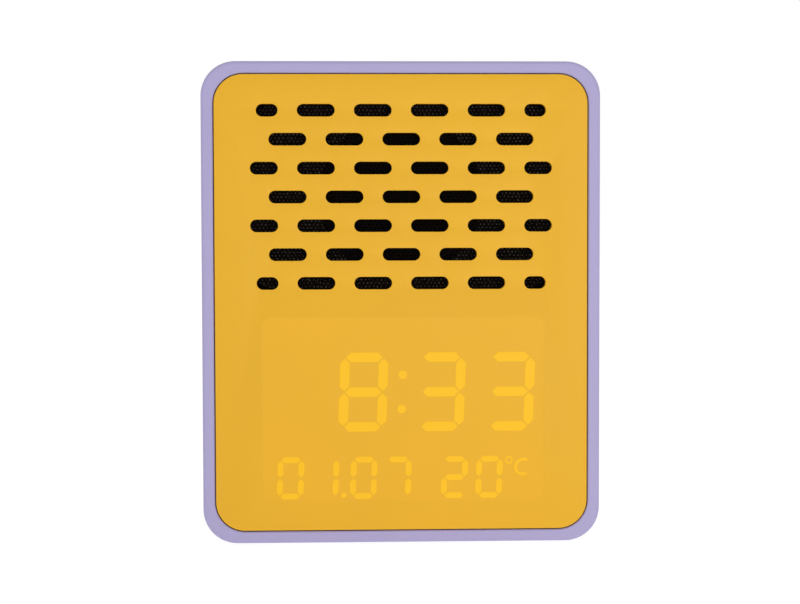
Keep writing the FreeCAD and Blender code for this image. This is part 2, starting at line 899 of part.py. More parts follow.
def add_ledge_and_posts(body, shell):
    """The ledge behind the front panel, and the four posts that take the cover's screws."""
    ledge = new_sketch(body, "XZ", ZERO, case_mid, ledge_front)
    rounded_rectangle(ledge, mouth_width + 2 * s.root, mouth_height + 2 * s.root, mouth_corner + s.root)
    inner = (mouth_width - 2 * s.ledge_width, mouth_height - 2 * s.ledge_width, mouth_corner - s.ledge_width)
    rounded_rectangle(ledge, *inner)
    pad(body, ledge, s.ledge_thick)

    start = ledge_back - s.root
    length = cover_inner - start
    reach = s.post_inset + s.root
    post = new_sketch(body, "XZ", -post_span_x / 2, post_low, start)
    circle(post, s.post_radius)
    side_web = new_sketch(body, "XZ", -post_span_x / 2 - reach / 2, post_low, start)
    rectangle(side_web, reach, s.post_web)
    low_web = new_sketch(body, "XZ", -post_span_x / 2, post_low - reach / 2, start)
    rectangle(low_web, s.post_web, reach)
    grown = [pad(body, sketch, length) for sketch in (post, side_web, low_web)]
    doc.recompute()
    mirrored = body.newObject("PartDesign::MultiTransform", "housing_posts")
    mirrored.Originals = grown
    across = body.newObject("PartDesign::Mirrored", "housing_posts_across")
    across.MirrorPlane = (shell, ["V_Axis"])
    upward = body.newObject("PartDesign::Mirrored", "housing_posts_upward")
    upward.MirrorPlane = (shell, ["H_Axis"])
    mirrored.Transformations = [across, upward]
    body.Tip = mirrored

    depth = s.cover_screw_length - s.cover_thick + s.cover_screw_head_thick + s.screw_end_room
    first = (-post_span_x / 2, post_low, cover_inner - depth)
    hole = s.cover_screw_radius + s.screw_fit
    holes(body, "XZ", first, hole, depth + s.overrun, (post_span_x, post_span_z))


def make_feet():
    """Four rubber discs glued into seats in the floor."""
    body = new_body("rubber_feet")
    r, e = s.foot_radius, s.foot_edge
    top = s.foot_thick
    feature, sketch = revolve(body, [(ZERO, ZERO), (r - e, ZERO), (r, e, e), (r, top), (ZERO, top)])
    grid = pattern(body, [feature], sketch, 2 * foot_x, 2 * foot_y, up="N_Axis")
    grid.Reversed2 = True
    place(body, -foot_x, -foot_y, ZERO)


def make_front_panel():
    """The flush front panel with its staggered rows of round-ended sound slots."""
    body = new_body("front_panel")
    plate = new_sketch(body, "XZ", ZERO, case_mid, panel_front)
    rounded_rectangle(plate, mouth_width - 2 * s.panel_gap, mouth_height - 2 * s.panel_gap, s.panel_corner)
    pad(body, plate, s.panel_thick)
    inner_end = 2.5 * slot_pitch - s.slot_length / 2
    # each kind of slot: its length, how far out and down its first one is, how many across and up
    kinds = (
        (s.slot_length, 1.5 * slot_pitch, 3 * s.row_pitch, 4, 4),
        (s.slot_length, 2 * slot_pitch, 2 * s.row_pitch, 5, 3),
        (s.slot_medium, inner_end + s.slot_medium / 2, s.row_pitch, 2, 2),
        (s.slot_short, inner_end + s.slot_short / 2, 3 * s.row_pitch, 2, 2),
    )
    for length, out, drop, columns, rows in kinds:
        slot = new_sketch(body, "XZ", -out, grille_z - drop, panel_front - s.overrun)
        stadium(slot, length, s.slot_height)
        cut = pocket(body, slot, s.panel_thick + 2 * s.overrun)
        pattern(body, [cut], slot, 2 * out, 2 * drop, columns, rows)
    doc.recompute()
    limit = float(panel_front + s.panel_edge / 2)
    faces = body.Tip.Shape.Faces
    flat = [f"Face{i}" for i, face in enumerate(faces, start=1) if face.BoundBox.YMax < limit]
    soften(body, "Chamfer", flat, s.panel_edge)


def make_panel_tape():
    """The ring of double-sided tape between the ledge and the front panel."""
    body = new_body("panel_tape")
    inset = 2 * (s.panel_gap + s.tape_inset)
    width, height, corner = mouth_width - inset, mouth_height - inset, s.panel_corner - s.tape_inset
    ring = new_sketch(body, "XZ", ZERO, case_mid, panel_back)
    rounded_rectangle(ring, width, height, corner)
    rounded_rectangle(ring, width - 2 * s.tape_width, height - 2 * s.tape_width, corner - s.tape_width)
    pad(body, ring, s.tape_thick)


def make_slab(label, middle, width, height, corner, thick, alone=True):
    """An upright plate with round corners. middle is its (x, z) and the y of its front."""
    body = new_body(label, alone)
    sketch = new_sketch(body, "XZ", *middle)
    rounded_rectangle(sketch, width, height, corner)
    pad(body, sketch, thick)
    return body


def make_baffle():
    """The black plate behind the ledge that carries the loudspeaker, the mesh's rim and the display."""
    width, height = mouth_width - 2 * s.baffle_clear, mouth_height - 2 * s.baffle_clear
    plate = (ZERO, case_mid, ledge_back)
    body = make_slab("baffle", plate, width, height, mouth_corner - s.baffle_clear, s.baffle_thick)
    before_plate = ledge_back - s.overrun
    through = s.baffle_thick + 2 * s.overrun

    side = 2 * (s.post_inset + s.post_radius + s.notch_clear)
    notch = new_sketch(body, "XZ", -mouth_width / 2, case_mid - mouth_height / 2, before_plate)
    rectangle(notch, side, side)
    pattern(body, [pocket(body, notch, through)], notch, mouth_width, mouth_height)

    mesh_back = panel_back + s.mesh_thick
    rib = new_sketch(body, "XZ", ZERO, grille_z, mesh_back)
    rounded_rectangle(rib, mesh_width, mesh_height, s.mesh_corner)
    rib_inset = 2 * s.rib_width
    rounded_rectangle(rib, mesh_width - rib_inset, mesh_height - rib_inset, s.mesh_corner - s.rib_width)
    pad(body, rib, ledge_back - mesh_back + s.root)

    seat = new_sketch(body, "XZ", ZERO, grille_z, baffle_back - s.root)
    circle(seat, s.flange_radius + s.seat_margin)
    pad(body, seat, s.seat_thick + s.root)
    window = new_sketch(body, "XZ", ZERO, grille_z, before_plate)
    circle(window, s.driver_window)
    pocket(body, window, through + s.seat_thick)
    opening = new_sketch(body, "XZ", display_x, display_z, before_plate)
    rounded_rectangle(opening, window_width, s.window_height, s.window_corner)
    pocket(body, opening, through)

    display_spans = (display_hole_span, s.display_hole_rise)
    first = (display_hole_x, display_hole_z, baffle_back - s.root)
    bosses(body, "XZ", first, s.display_boss_radius, s.display_boss_length + s.root, display_spans)
    reach = s.screw_length - s.board_thick + s.screw_end_room
    first = (display_hole_x, display_hole_z, display_front - reach)
    holes(body, "XZ", first, screw_hole, reach + s.overrun, display_spans)

    first = (-baffle_screw_span / 2, baffle_screw_low, before_plate)
    holes(body, "XZ", first, screw_pass, through, (baffle_screw_span, 2 * s.baffle_screw_rise))
    reach = s.driver_screw_length - s.flange_thick - s.gasket_thick + s.screw_end_room
    first = (-s.driver_screw_span / 2, driver_hole_low, seat_back - reach)
    holes(body, "XZ", first, screw_hole, reach + s.overrun, (s.driver_screw_span, s.driver_screw_span))


def make_screws(label, degrees, first, spans, rows=2, sizes=None, alone=True):
    """Pan-head screws with a cross recess, two across. first is where the first head is seated.

    The body is turned about X, so that its own +Z runs from the tips to the heads.
    """
    small = (s.screw_radius, s.screw_head, s.screw_head_thick, s.screw_length)
    radius, head, head_thick, length = sizes or small
    body = turned(new_body(label, alone), X_AXIS, degrees)
    tip = radius / 2
    feature, sketch = revolve(
        body,
        [
            (ZERO, -length),
            (radius - tip, -length),
            (radius, tip - length),
            (radius, ZERO),
            (head, ZERO),
            (head, head_thick / 2),
            (ZERO, head_thick, 2 * head),
        ],
    )
    recess = new_sketch(body, "XY", ZERO, ZERO, head_thick - s.recess_depth)
    cross(recess, head, s.recess_width)
    cut = pocket(body, recess, s.recess_depth + s.overrun)
    grid = pattern(body, [feature, cut], sketch, *spans, 2, rows, up="N_Axis")
    grid.Reversed2 = degrees > 0
    place(body, *first)
    return body


def make_all_screws():
    """Every set of screws, each with its heads on the side that a screwdriver comes from."""
    baffle = (-baffle_screw_span / 2, baffle_back, baffle_screw_low)
    display = (display_hole_x, display_back, display_hole_z)
    board = (-board_hole_span / 2, board_front, board_hole_low)
    talk = (-s.talk_boss_span / 2, ZERO, talk_board_top - s.board_thick)
    alike = (
        make_screws("baffle_set", -90, baffle, (baffle_screw_span, 2 * s.baffle_screw_rise), alone=False),
        make_screws("display_set", -90, display, (display_hole_span, s.display_hole_rise), alone=False),
        make_screws("board_set", 90, board, (board_hole_span, board_hole_rise), alone=False),
        make_screws("talk_set", 180, talk, (s.talk_boss_span, ZERO), 1, alone=False),
    )
    group("small_screws", list(alike))

    first = (-s.driver_screw_span / 2, driver_front + s.flange_thick, driver_hole_low)
    sizes = (s.screw_radius, s.screw_head, s.screw_head_thick, s.driver_screw_length)
    make_screws("driver_screws", -90, first, (s.driver_screw_span, s.driver_screw_span), 2, sizes)
    first = (-post_span_x / 2, cover_outer - s.cover_screw_head_thick, post_low)
    sizes = (s.cover_screw_radius, s.cover_screw_head, s.cover_screw_head_thick, s.cover_screw_length)
    make_screws("cover_screws", -90, first, (post_span_x, post_span_z), 2, sizes)


def driver_piece(label, points):
    """A turned piece of the loudspeaker. Its own +Z runs to the back, from the flange's front face."""
    body = turned(new_body(label), X_AXIS, -90)
    place(body, ZERO, driver_front, grille_z)
    _, sketch = revolve(body, points)
    return body, sketch


def ring_section(inner, outer, start, length):
    """The section of a flat ring."""
    return [(inner, start), (outer, start), (outer, start + length), (inner, start + length)]


def make_gasket():
    """The foam ring between the baffle's seat and the loudspeaker's flange."""
    section = ring_section(s.gasket_inner, s.flange_radius, -s.gasket_thick, s.gasket_thick)
    body, _ = driver_piece("driver_gasket", section)
    first = (-s.driver_screw_span / 2, -s.driver_screw_span / 2, -s.gasket_thick - s.overrun)
    spans = (s.driver_screw_span, s.driver_screw_span)
    holes(body, "XY", first, screw_pass, s.gasket_thick + 2 * s.overrun, spans)


def make_basket():
    """The pressed steel frame of the loudspeaker: flange, conical wall with windows, spider seat and base."""
    wall = s.basket_wall
    base_front = s.basket_depth - s.base_thick
    body, sketch = driver_piece(
        "driver_basket",
        [
            (s.flange_opening, ZERO),
            (s.flange_radius, ZERO),
            (s.flange_radius, s.flange_thick),
            (s.basket_throat + wall, s.flange_thick),
            (s.basket_throat + wall, s.basket_shoulder),
            (s.basket_waist + wall, s.spider_depth + wall),
            (s.basket_waist + wall, s.basket_depth),
            (s.base_hole, s.basket_depth),
            (s.base_hole, base_front),
            (s.spider_seat, base_front),
            (s.spider_seat, s.spider_depth),
            (s.basket_waist, s.spider_depth),
            (s.basket_throat, s.basket_shoulder),
            (s.basket_throat, s.flange_thick),
            (s.flange_opening, s.flange_thick),
        ],
    )
    middle = (s.basket_shoulder + s.spider_depth) / 2
    window = new_sketch(body, "YZ", ZERO, middle, s.spider_seat)
    stadium(window, 2 * s.basket_window, s.basket_window_rise)
    cut = pocket(body, window, s.flange_radius - s.spider_seat)
    around(body, [cut], sketch, 4)
    first = (-s.driver_screw_span / 2, -s.driver_screw_span / 2, -s.overrun)
    spans = (s.driver_screw_span, s.driver_screw_span)
    holes(body, "XY", first, screw_pass, s.flange_thick + 2 * s.overrun, spans)


def arc_radius(half, rise):
    """The radius of an arc from half its chord and its rise."""
    return (half * half + rise * rise) / (2 * rise)


def make_surround():
    """The rubber half roll between the cone's rim and the flange."""
    t, half, rise = s.roll_thick, s.roll_half, s.roll_rise
    driver_piece(
        "driver_surround",
        [
            (cone_rim - s.surround_lip, ZERO),
            (cone_rim - s.surround_lip, -t),
            (cone_rim, -t),
            (s.roll_centre + half, -t, arc_radius(half, rise)),
            (s.surround_outer, -t),
            (s.surround_outer, ZERO),
            (s.roll_centre + half - t, ZERO),
            (s.roll_centre - half + t, ZERO, -arc_radius(half - t, rise)),
        ],
    )


def make_spider():
    """The corrugated cloth ring that keeps the coil centred."""
    start = former_outer + s.spider_lip
    seat = s.spider_depth - s.spider_thick
    radius = arc_radius(s.spider_wave_half, s.spider_wave_rise)
    waves = 6
    section = [(former_outer, seat), (start, seat)]
    for wave in range(1, waves + 1):
        section.append((start + 2 * wave * s.spider_wave_half, seat, radius if wave % 2 else -radius))
    rim = s.spider_seat + s.spider_rim
    section += [(rim, seat), (rim, s.spider_depth)]
    section.append((start + 2 * waves * s.spider_wave_half, s.spider_depth))
    for wave in range(waves - 1, -1, -1):
        along = start + 2 * wave * s.spider_wave_half
        section.append((along, s.spider_depth, radius if wave % 2 else -radius))
    section.append((former_outer, s.spider_depth))
    driver_piece("driver_spider", section)


def make_cone_assembly():
    """What swings when the clock speaks: cone, dust cap, coil former and coil."""
    t = s.cone_thick
    inner_rim = cone_rim - s.surround_lip
    neck = s.cone_neck_depth
    driver_piece(
        "speaker_cone",
        [
            (inner_rim, ZERO),
            (cone_rim, ZERO),
            (cone_rim, t),
            (inner_rim, t),
            (former_outer, neck),
            (former_outer, neck - t),
        ],
    )
    # The cap stands on the cone's front, where the cone is as wide as the cap.
    inner = s.cap_radius - s.cap_thick
    foot = (neck - t) * (inner_rim - inner) / (inner_rim - former_outer) - s.cap_gap
    driver_piece(
        "dust_cap",
        [
            (inner, foot, arc_radius(inner, s.cap_rise - s.cap_thick)),
            (s.cap_radius, foot - s.cap_thick),
            (ZERO, foot - s.cap_rise, -arc_radius(s.cap_radius, s.cap_rise - s.cap_thick)),
            (ZERO, foot - s.cap_rise + s.cap_thick),
        ],
    )
    top = neck - 2 * t
    driver_piece("coil_former", ring_section(former_inner, former_outer, top, s.former_reach - top))
    far = s.former_reach - s.root
    driver_piece("voice_coil", ring_section(former_outer, coil_outer, far - s.coil_length, s.coil_length))


def make_magnet_system():
    """Front plate, ring magnet and the yoke with its pole, stacked behind the basket."""
    depth = s.basket_depth
    plate_hole = coil_outer + s.coil_gap
    driver_piece("driver_front_plate", ring_section(plate_hole, s.plate_radius, depth, s.plate_thick))
    magnet_front = depth + s.plate_thick
    section = ring_section(s.magnet_hole, s.magnet_radius, magnet_front, s.magnet_thick)
    driver_piece("driver_magnet", section)
    yoke_front = magnet_front + s.magnet_thick
    yoke_back = yoke_front + s.yoke_thick
    driver_piece(
        "driver_yoke",
        [
            (ZERO, depth),
            (s.pole_radius, depth),
            (s.pole_radius, yoke_front),
            (s.plate_radius, yoke_front),
            (s.plate_radius, yoke_back),
            (ZERO, yoke_back),
        ],
    )


tag_board_front = driver_front + s.flange_thick
tag_z = grille_z - (s.flange_radius + s.basket_throat + s.basket_wall) / 2
tag_end = tag_board_front + s.tag_board_thick + s.tag_length


def make_terminals():
    """The small insulating board riveted to the flange, with its two solder tags."""
    width, height, thick = s.tag_board_width, s.tag_board_height, s.tag_board_thick
    members = [box(width, thick, height, -width / 2, tag_board_front, tag_z - height / 2)]
    for side in (-1, 1):
        x = side * s.tag_spread / 2 - s.tag_width / 2
        tag = box(s.tag_width, s.tag_length, s.tag_thick, x, tag_end - s.tag_length, tag_z - s.tag_thick / 2)
        members.append(tag)
    group("driver_terminals", members)


def slanted(x, z, along, up):
    """A point of a figure whose middle is at (x, z), leaning to the right as it rises."""
    return FreeCAD.Vector(float(x) + along + float(s.digit_slant) * up, float(film_back), float(z) + up)


def bar_prism(x, z, width, height, stroke, bar, depth):
    """One bar of a figure: a long hexagon with a small gap to the next bar at each of its points."""
    reach_x, reach_z = float(width - stroke) / 2, float(height - stroke) / 2
    (x1, z1), (x2, z2) = BAR_SHARES[bar]
    begin = FreeCAD.Vector(x1 * reach_x, z1 * reach_z, 0)
    end = FreeCAD.Vector(x2 * reach_x, z2 * reach_z, 0)
    along = (end - begin).normalize()
    aside = FreeCAD.Vector(-along.y, along.x, 0)
    gap = float(s.segment_gap) / math.sqrt(2)
    half = float(stroke) / 2
    corners = [
        begin + along * gap,
        begin + along * (gap + half) + aside * half,
        end - along * (gap + half) + aside * half,
        end - along * gap,
        end - along * (gap + half) - aside * half,
        begin + along * (gap + half) - aside * half,
    ]
    points = [slanted(x, z, corner.x, corner.y) for corner in corners]
    face = Part.Face(Part.makePolygon(points + points[:1]))
    return face.extrude(FreeCAD.Vector(0, float(depth), 0))


def dot_prism(x, z, radius, depth):
    """A round light of the display."""
    middle = FreeCAD.Vector(float(x), float(film_back), float(z))
    return Part.makeCylinder(float(radius), float(depth), middle, Y_AXIS)


def letter_prism(x, z, depth):
    """The letter of the temperature's unit: a half ring with two straight arms to the right."""
    half, width, stroke = float(s.letter_height) / 2, float(s.letter_width), float(s.letter_stroke)
    bend = -width / 2 + half

    def spot(along, up):
        return slanted(x, z, along, up)

    inner = half - stroke
    edges = [
        Part.makeLine(spot(width / 2, half), spot(bend, half)),
        Part.Arc(spot(bend, half), spot(bend - half, 0), spot(bend, -half)).toShape(),
        Part.makeLine(spot(bend, -half), spot(width / 2, -half)),
        Part.makeLine(spot(width / 2, -half), spot(width / 2, -inner)),
        Part.makeLine(spot(width / 2, -inner), spot(bend, -inner)),
        Part.Arc(spot(bend, -inner), spot(bend - inner, 0), spot(bend, inner)).toShape(),
        Part.makeLine(spot(bend, inner), spot(width / 2, inner)),
        Part.makeLine(spot(width / 2, inner), spot(width / 2, half)),
    ]
    return Part.Face(Part.Wire(edges)).extrude(FreeCAD.Vector(0, float(depth), 0))


def make_display():
    """The light display: film, reflector block, a light guide for each bar, and the lights on their board."""
    gap = 2 * s.window_gap
    width, height = window_width - gap, s.window_height - gap
    corner = s.window_corner - s.window_gap
    make_slab("display_film", (display_x, display_z, panel_back), width, height, corner, s.film_thick)

    depth = display_front - film_back - s.led_room
    time_width, date_width = TIME_WIDTH_SHARE * window_width, DATE_WIDTH_SHARE * window_width
    time = (display_z + s.time_rise, time_width, s.time_height, s.time_stroke)
    date = (display_z - s.date_drop, date_width, s.date_height, s.date_stroke)
    lit, unlit, light_spots = [], [], []
    for shares, (z, figure_width, figure_height, stroke) in ((TIME_SHARES, time), (DATE_SHARES, date)):
        for share, bars in shares:
            x = display_x + share * window_width
            for bar in BAR_SHARES:
                prism = bar_prism(x, z, figure_width, figure_height, stroke, bar, depth)
                (lit if bar in bars else unlit).append(prism)
                light_spots.append(prism.CenterOfMass)
    colon_x, colon_z = display_x + s.colon_shift, display_z + s.time_rise
    lean = s.digit_slant * s.colon_spread / 2
    lit.append(dot_prism(colon_x + lean, colon_z + s.colon_spread / 2, s.colon_radius, depth))
    lit.append(dot_prism(colon_x - lean, colon_z - s.colon_spread / 2, s.colon_radius, depth))
    point_x = display_x + POINT_SHARE * window_width
    lit.append(dot_prism(point_x, display_z - s.point_drop, s.point_radius, depth))
    degree = (display_x + DEGREE_SHARE * window_width, display_z - s.degree_drop)
    ring = dot_prism(*degree, s.degree_radius, depth)
    lit.append(ring.cut(dot_prism(*degree, s.degree_radius - s.degree_stroke, depth)).Solids[0])
    lit.append(letter_prism(degree[0] + s.letter_lead, display_z - s.letter_drop, depth))
    light_spots += [prism.CenterOfMass for prism in lit[-5:]]
    lights_on = shaped("lit_segments", Part.makeCompound(lit))
    lights_off = shaped("unlit_segments", Part.makeCompound(unlit))

    middle = (display_x, display_z, film_back)
    block = make_slab("reflector_block", middle, width, height, corner, depth + s.led_room, False)
    room = new_sketch(block, "XZ", display_x, display_z, display_front - s.led_room)
    rounded_rectangle(room, width - 2 * s.led_wall, height - 2 * s.led_wall, corner - s.led_wall)
    pocket(block, room, s.led_room + s.overrun)
    bore = shaped("degree_bore", dot_prism(*degree, s.degree_radius, depth), alone=False)
    guides = doc.addObject("Part::Compound", "light_guides")
    guides.Links = [lights_on, lights_off, bore]
    reflector = doc.addObject("Part::Cut", "display_reflector")
    reflector.Base = block
    reflector.Tool = guides
    pieces.append(reflector)

    length, led_width, thick = float(s.led_length), float(s.led_width), float(s.led_thick)
    leds = []
    for spot in light_spots:
        low = FreeCAD.Vector(spot.x - length / 2, float(display_front) - thick, spot.z - led_width / 2)
        leds.append(Part.makeBox(length, thick, led_width, low))
    shaped("display_lights", Part.makeCompound(leds))

    width = window_width + 2 * s.display_margin_side
    height = s.window_height + 2 * s.display_margin_top
    middle = (display_x, display_z, display_front)
    corner = s.display_board_corner
    body = make_slab("display_board", middle, width, height, corner, s.board_thick)
    first = (display_hole_x, display_hole_z, display_front - s.overrun)
    spans = (display_hole_span, s.display_hole_rise)
    holes(body, "XZ", first, screw_pass, s.board_thick + 2 * s.overrun, spans)


slide_x = switch_x - s.slide_travel / 2
slider_plate_front = cover_inner - s.button_rest_gap - s.slider_plate
lever_start = board_rear + s.slide_case_depth - s.lever_sink
lever_end = slider_plate_front - s.slider_stem_length
inlet_mouth = cover_outer - s.inlet_mouth_back


def make_rear_cover():
    """The cover screwed over the back, with its bosses for the main board and its openings."""
    width, height = mouth_width - 2 * s.cover_gap, mouth_height - 2 * s.cover_gap
    middle = (ZERO, case_mid, cover_inner)
    body = make_slab("rear_cover", middle, width, height, mouth_corner - s.cover_gap, s.cover_thick)
    slip = s.cover_edge / 2
    low = (-width / 2 - slip, cover_outer - slip, case_mid - height / 2 - slip)
    high = (width / 2 + slip, cover_outer + slip, case_mid + height / 2 + slip)
    soften(body, "Chamfer", edges_in(body, low, high), s.cover_edge)
    through = s.cover_thick + 2 * s.overrun
    before_cover = cover_inner - s.overrun

    board_spans = (board_hole_span, board_hole_rise)
    first = (-board_hole_span / 2, board_hole_low, board_rear)
    bosses(body, "XZ", first, s.board_boss_radius, s.board_standoff + s.root, board_spans)
    reach = s.screw_length - s.board_thick + s.screw_end_room
    first = (-board_hole_span / 2, board_hole_low, board_rear - s.overrun)
    holes(body, "XZ", first, screw_hole, reach + s.overrun, board_spans)

    post_spans = (post_span_x, post_span_z)
    first = (-post_span_x / 2, post_low, before_cover)
    holes(body, "XZ", first, s.cover_screw_radius + s.screw_clear, through, post_spans)
    first = (-post_span_x / 2, post_low, cover_outer - s.cover_screw_head_thick)
    counterbore = s.cover_screw_head + s.counterbore_clear
    holes(body, "XZ", first, counterbore, s.cover_screw_head_thick + s.overrun, post_spans)

    button = new_sketch(body, "XZ", -1.5 * button_pitch, s.button_rise, before_cover)
    circle(button, s.button_radius + s.button_gap)
    pattern(body, [pocket(body, button, through)], button, 3 * button_pitch, ZERO, 4, 1)

    slot = new_sketch(body, "XZ", switch_x, s.port_rise, before_cover)
    slot_length = s.slider_length + s.slide_travel + 2 * s.slider_gap
    rounded_rectangle(slot, slot_length, s.slider_height + 2 * s.slider_gap, s.slider_corner)
    pocket(body, slot, through)

    recess = new_sketch(body, "XZ", ZERO, s.port_rise, cover_outer - s.inlet_recess_depth)
    stadium(recess, s.inlet_recess_length, s.inlet_recess_height)
    pocket(body, recess, s.inlet_recess_depth + s.overrun)
    port = new_sketch(body, "XZ", ZERO, s.port_rise, before_cover)
    stadium(port, s.inlet_length + 2 * s.inlet_clear, s.inlet_height + 2 * s.inlet_clear)
    pocket(body, port, through)

    vent = new_sketch(body, "XZ", sensor_x, s.port_rise - s.vent_pitch, before_cover)
    stadium(vent, s.vent_length, s.vent_height)
    pattern(body, [pocket(body, vent, through)], vent, ZERO, 2 * s.vent_pitch, 1, 3)

    label = new_sketch(body, "XZ", ZERO, s.label_rise, cover_outer - s.label_depth)
    rounded_rectangle(label, s.label_width, s.label_height, s.label_corner)
    pocket(body, label, s.label_depth + s.overrun)


def ring_mark(sketch):
    """The raised ring on the alarm button."""
    circle(sketch, s.mark_size / 2)
    circle(sketch, s.mark_size / 2 - s.mark_stroke)


def dot_mark(sketch):
    """The raised dot on the mode button."""
    circle(sketch, s.mark_stroke)


def minus_mark(sketch):
    """The raised bar on the minus button."""
    rectangle(sketch, s.mark_size, s.mark_stroke)


def plus_mark(sketch):
    """The raised plus on the plus button."""
    cross(sketch, s.mark_size, s.mark_stroke)


def make_buttons():
    """The four round buttons on the back, each over the plunger of its own switch."""
    r, edge = s.button_radius, s.button_edge
    stem = cover_inner - s.button_rest_gap - s.button_flange_thick - push_tip
    shoulder = stem + s.button_flange_thick
    top = cover_outer + s.button_proud - push_tip
    profile = [
        (ZERO, ZERO),
        (s.button_stem, ZERO),
        (s.button_stem, stem),
        (s.button_flange, stem),
        (s.button_flange, shoulder),
        (r, shoulder),
        (r, top - edge),
        (r - edge, top, edge),
        (ZERO, top),
    ]
    kinds = (
        ("plus", -1.5, plus_mark),
        ("minus", -0.5, minus_mark),
        ("alarm", 0.5, ring_mark),
        ("mode", 1.5, dot_mark),
    )
    for name, column, draw_mark in kinds:
        x = column * button_pitch
        body = turned(new_body(name + "_button"), X_AXIS, -90)
        revolve(body, profile)
        mark = new_sketch(body, "XY", ZERO, ZERO, top)
        draw_mark(mark)
        pad(body, mark, s.mark_proud)
        place(body, x, push_tip, s.button_rise)
        make_plunger(name + "_plunger", -90, x, board_rear + s.switch_height - s.plunger_sink, s.button_rise)


def make_plunger(label, degrees, x, y, z):
    """The round plunger of a push switch, from inside its base to its tip."""
    plunger = doc.addObject("Part::Cylinder", label)
    bind(plunger, "Radius", s.plunger_radius)
    bind(plunger, "Height", s.switch_total - s.switch_height + s.plunger_sink)
    turned(plunger, X_AXIS, degrees)
    place(plunger, x, y, z)
    pieces.append(plunger)


def make_switches():
    """The square bases of the push switches. Each has a well in which its plunger sinks."""
    body = new_body("back_bases", alone=False)
    base = new_sketch(body, "XZ", -1.5 * button_pitch, s.button_rise, board_rear)
    rectangle(base, s.switch_side, s.switch_side)
    block = pad(body, base, s.switch_height)
    floor = board_rear + s.switch_height - s.switch_well
    well = new_sketch(body, "XZ", -1.5 * button_pitch, s.button_rise, floor)
    circle(well, s.plunger_radius + s.plunger_gap)
    cut = pocket(body, well, s.switch_well + s.overrun)
    pattern(body, [block, cut], base, 3 * button_pitch, ZERO, 4, 1)

    talk_base = new_body("talk_base", alone=False)
    base = new_sketch(talk_base, "XY", ZERO, ZERO, talk_board_top)
    rectangle(base, s.switch_side, s.switch_side)
    pad(talk_base, base, s.switch_height)
    top = talk_board_top + s.switch_height
    well = new_sketch(talk_base, "XY", ZERO, ZERO, top - s.switch_well)
    circle(well, s.plunger_radius + s.plunger_gap)
    pocket(talk_base, well, s.switch_well + s.overrun)
    group("switch_bases", [body, talk_base])
    make_plunger("talk_plunger", 0, ZERO, ZERO, top - s.plunger_sink)


def make_talk_bar():
    """The long bar on the top that makes the clock speak the time, with three pips to find it by touch."""
    body = new_body("talk_bar")
    flange_bottom = talk_flange_top - s.talk_flange_thick
    flange = new_sketch(body, "XY", ZERO, ZERO, flange_bottom)
    stadium(flange, s.talk_length + 2 * s.talk_flange, 2 * (s.talk_radius + s.talk_flange))
    pad(body, flange, s.talk_flange_thick)
    stem = new_sketch(body, "XY", ZERO, ZERO, talk_tip)
    circle(stem, s.talk_stem_radius)
    pad(body, stem, s.talk_stem_length + s.root)
    cap = new_sketch(body, "XY", ZERO, ZERO, talk_flange_top - s.root)
    stadium(cap, s.talk_length, 2 * s.talk_radius)
    top = case_top + s.talk_proud
    pad(body, cap, top - talk_flange_top + s.root)
    reach = s.talk_length / 2 + s.talk_edge
    rim = edges_in(body, (-reach, -reach, top - s.talk_edge / 2), (reach, reach, top + s.talk_edge / 2))
    soften(body, "Fillet", rim, s.talk_edge)
    pip = new_sketch(body, "XY", -s.pip_pitch, ZERO, top - s.root)
    circle(pip, s.pip_radius)
    pattern(body, [pad(body, pip, s.root + s.pip_proud)], pip, 2 * s.pip_pitch, ZERO, 3, 1)


def make_talk_board():
    """The narrow board under the talk bar."""
    body = new_body("talk_board")
    sketch = new_sketch(body, "XY", ZERO, ZERO, talk_board_top - s.board_thick)
    rounded_rectangle(sketch, s.talk_board_length, s.talk_board_width, s.board_corner)
    pad(body, sketch, s.board_thick)
    first = (-s.talk_boss_span / 2, ZERO, talk_board_top - s.board_thick - s.overrun)
    holes(body, "XY", first, screw_pass, s.board_thick + 2 * s.overrun, (s.talk_boss_span, ZERO), 1)


def make_slide_switch():
    """The power switch: its case and lever on the main board, and the ribbed slider in the cover."""
    body = new_body("slide_switch_case")
    case = new_sketch(body, "XZ", switch_x, s.port_rise, board_rear)
    rectangle(case, s.slide_case_length, s.slide_case_height)
    pad(body, case, s.slide_case_depth)
    floor = board_rear + s.slide_case_depth - s.slide_case_well
    well = new_sketch(body, "XZ", switch_x, s.port_rise, floor)
    clear = 2 * s.lever_clear
    rectangle(well, s.lever_side + s.slide_travel + clear, s.lever_side + clear)
    pocket(body, well, s.slide_case_well + s.overrun)

    half = s.lever_side / 2
    length = lever_end - lever_start
    lever = box(s.lever_side, length, s.lever_side, slide_x - half, lever_start, s.port_rise - half)
    lever.Label = "switch_lever"
    pieces.append(lever)

    body = new_body("power_slider")
    cover = 2 * (s.slider_gap + s.slider_cover)
    plate = new_sketch(body, "XZ", slide_x, s.port_rise, slider_plate_front)
    plate_length = s.slider_length + 2 * s.slide_travel + cover
    rounded_rectangle(plate, plate_length, s.slider_height + cover, s.slider_corner)
    pad(body, plate, s.slider_plate)
    knob = new_sketch(body, "XZ", slide_x, s.port_rise, slider_plate_front)
    rounded_rectangle(knob, s.slider_length, s.slider_height, s.slider_corner)
    knob_top = cover_outer + s.slider_proud
    pad(body, knob, knob_top - slider_plate_front)
    stem = new_sketch(body, "XZ", slide_x, s.port_rise, lever_end)
    rectangle(stem, s.slider_stem_side, s.slider_stem_side)
    pad(body, stem, s.slider_stem_length + s.root)
    grip = new_sketch(body, "XZ", slide_x - 1.5 * s.grip_pitch, s.port_rise, knob_top - s.root)
    rectangle(grip, s.grip_width, s.slider_height - 2 * s.grip_margin)
    pattern(body, [pad(body, grip, s.root + s.grip_proud)], grip, 3 * s.grip_pitch, ZERO, 4, 1)


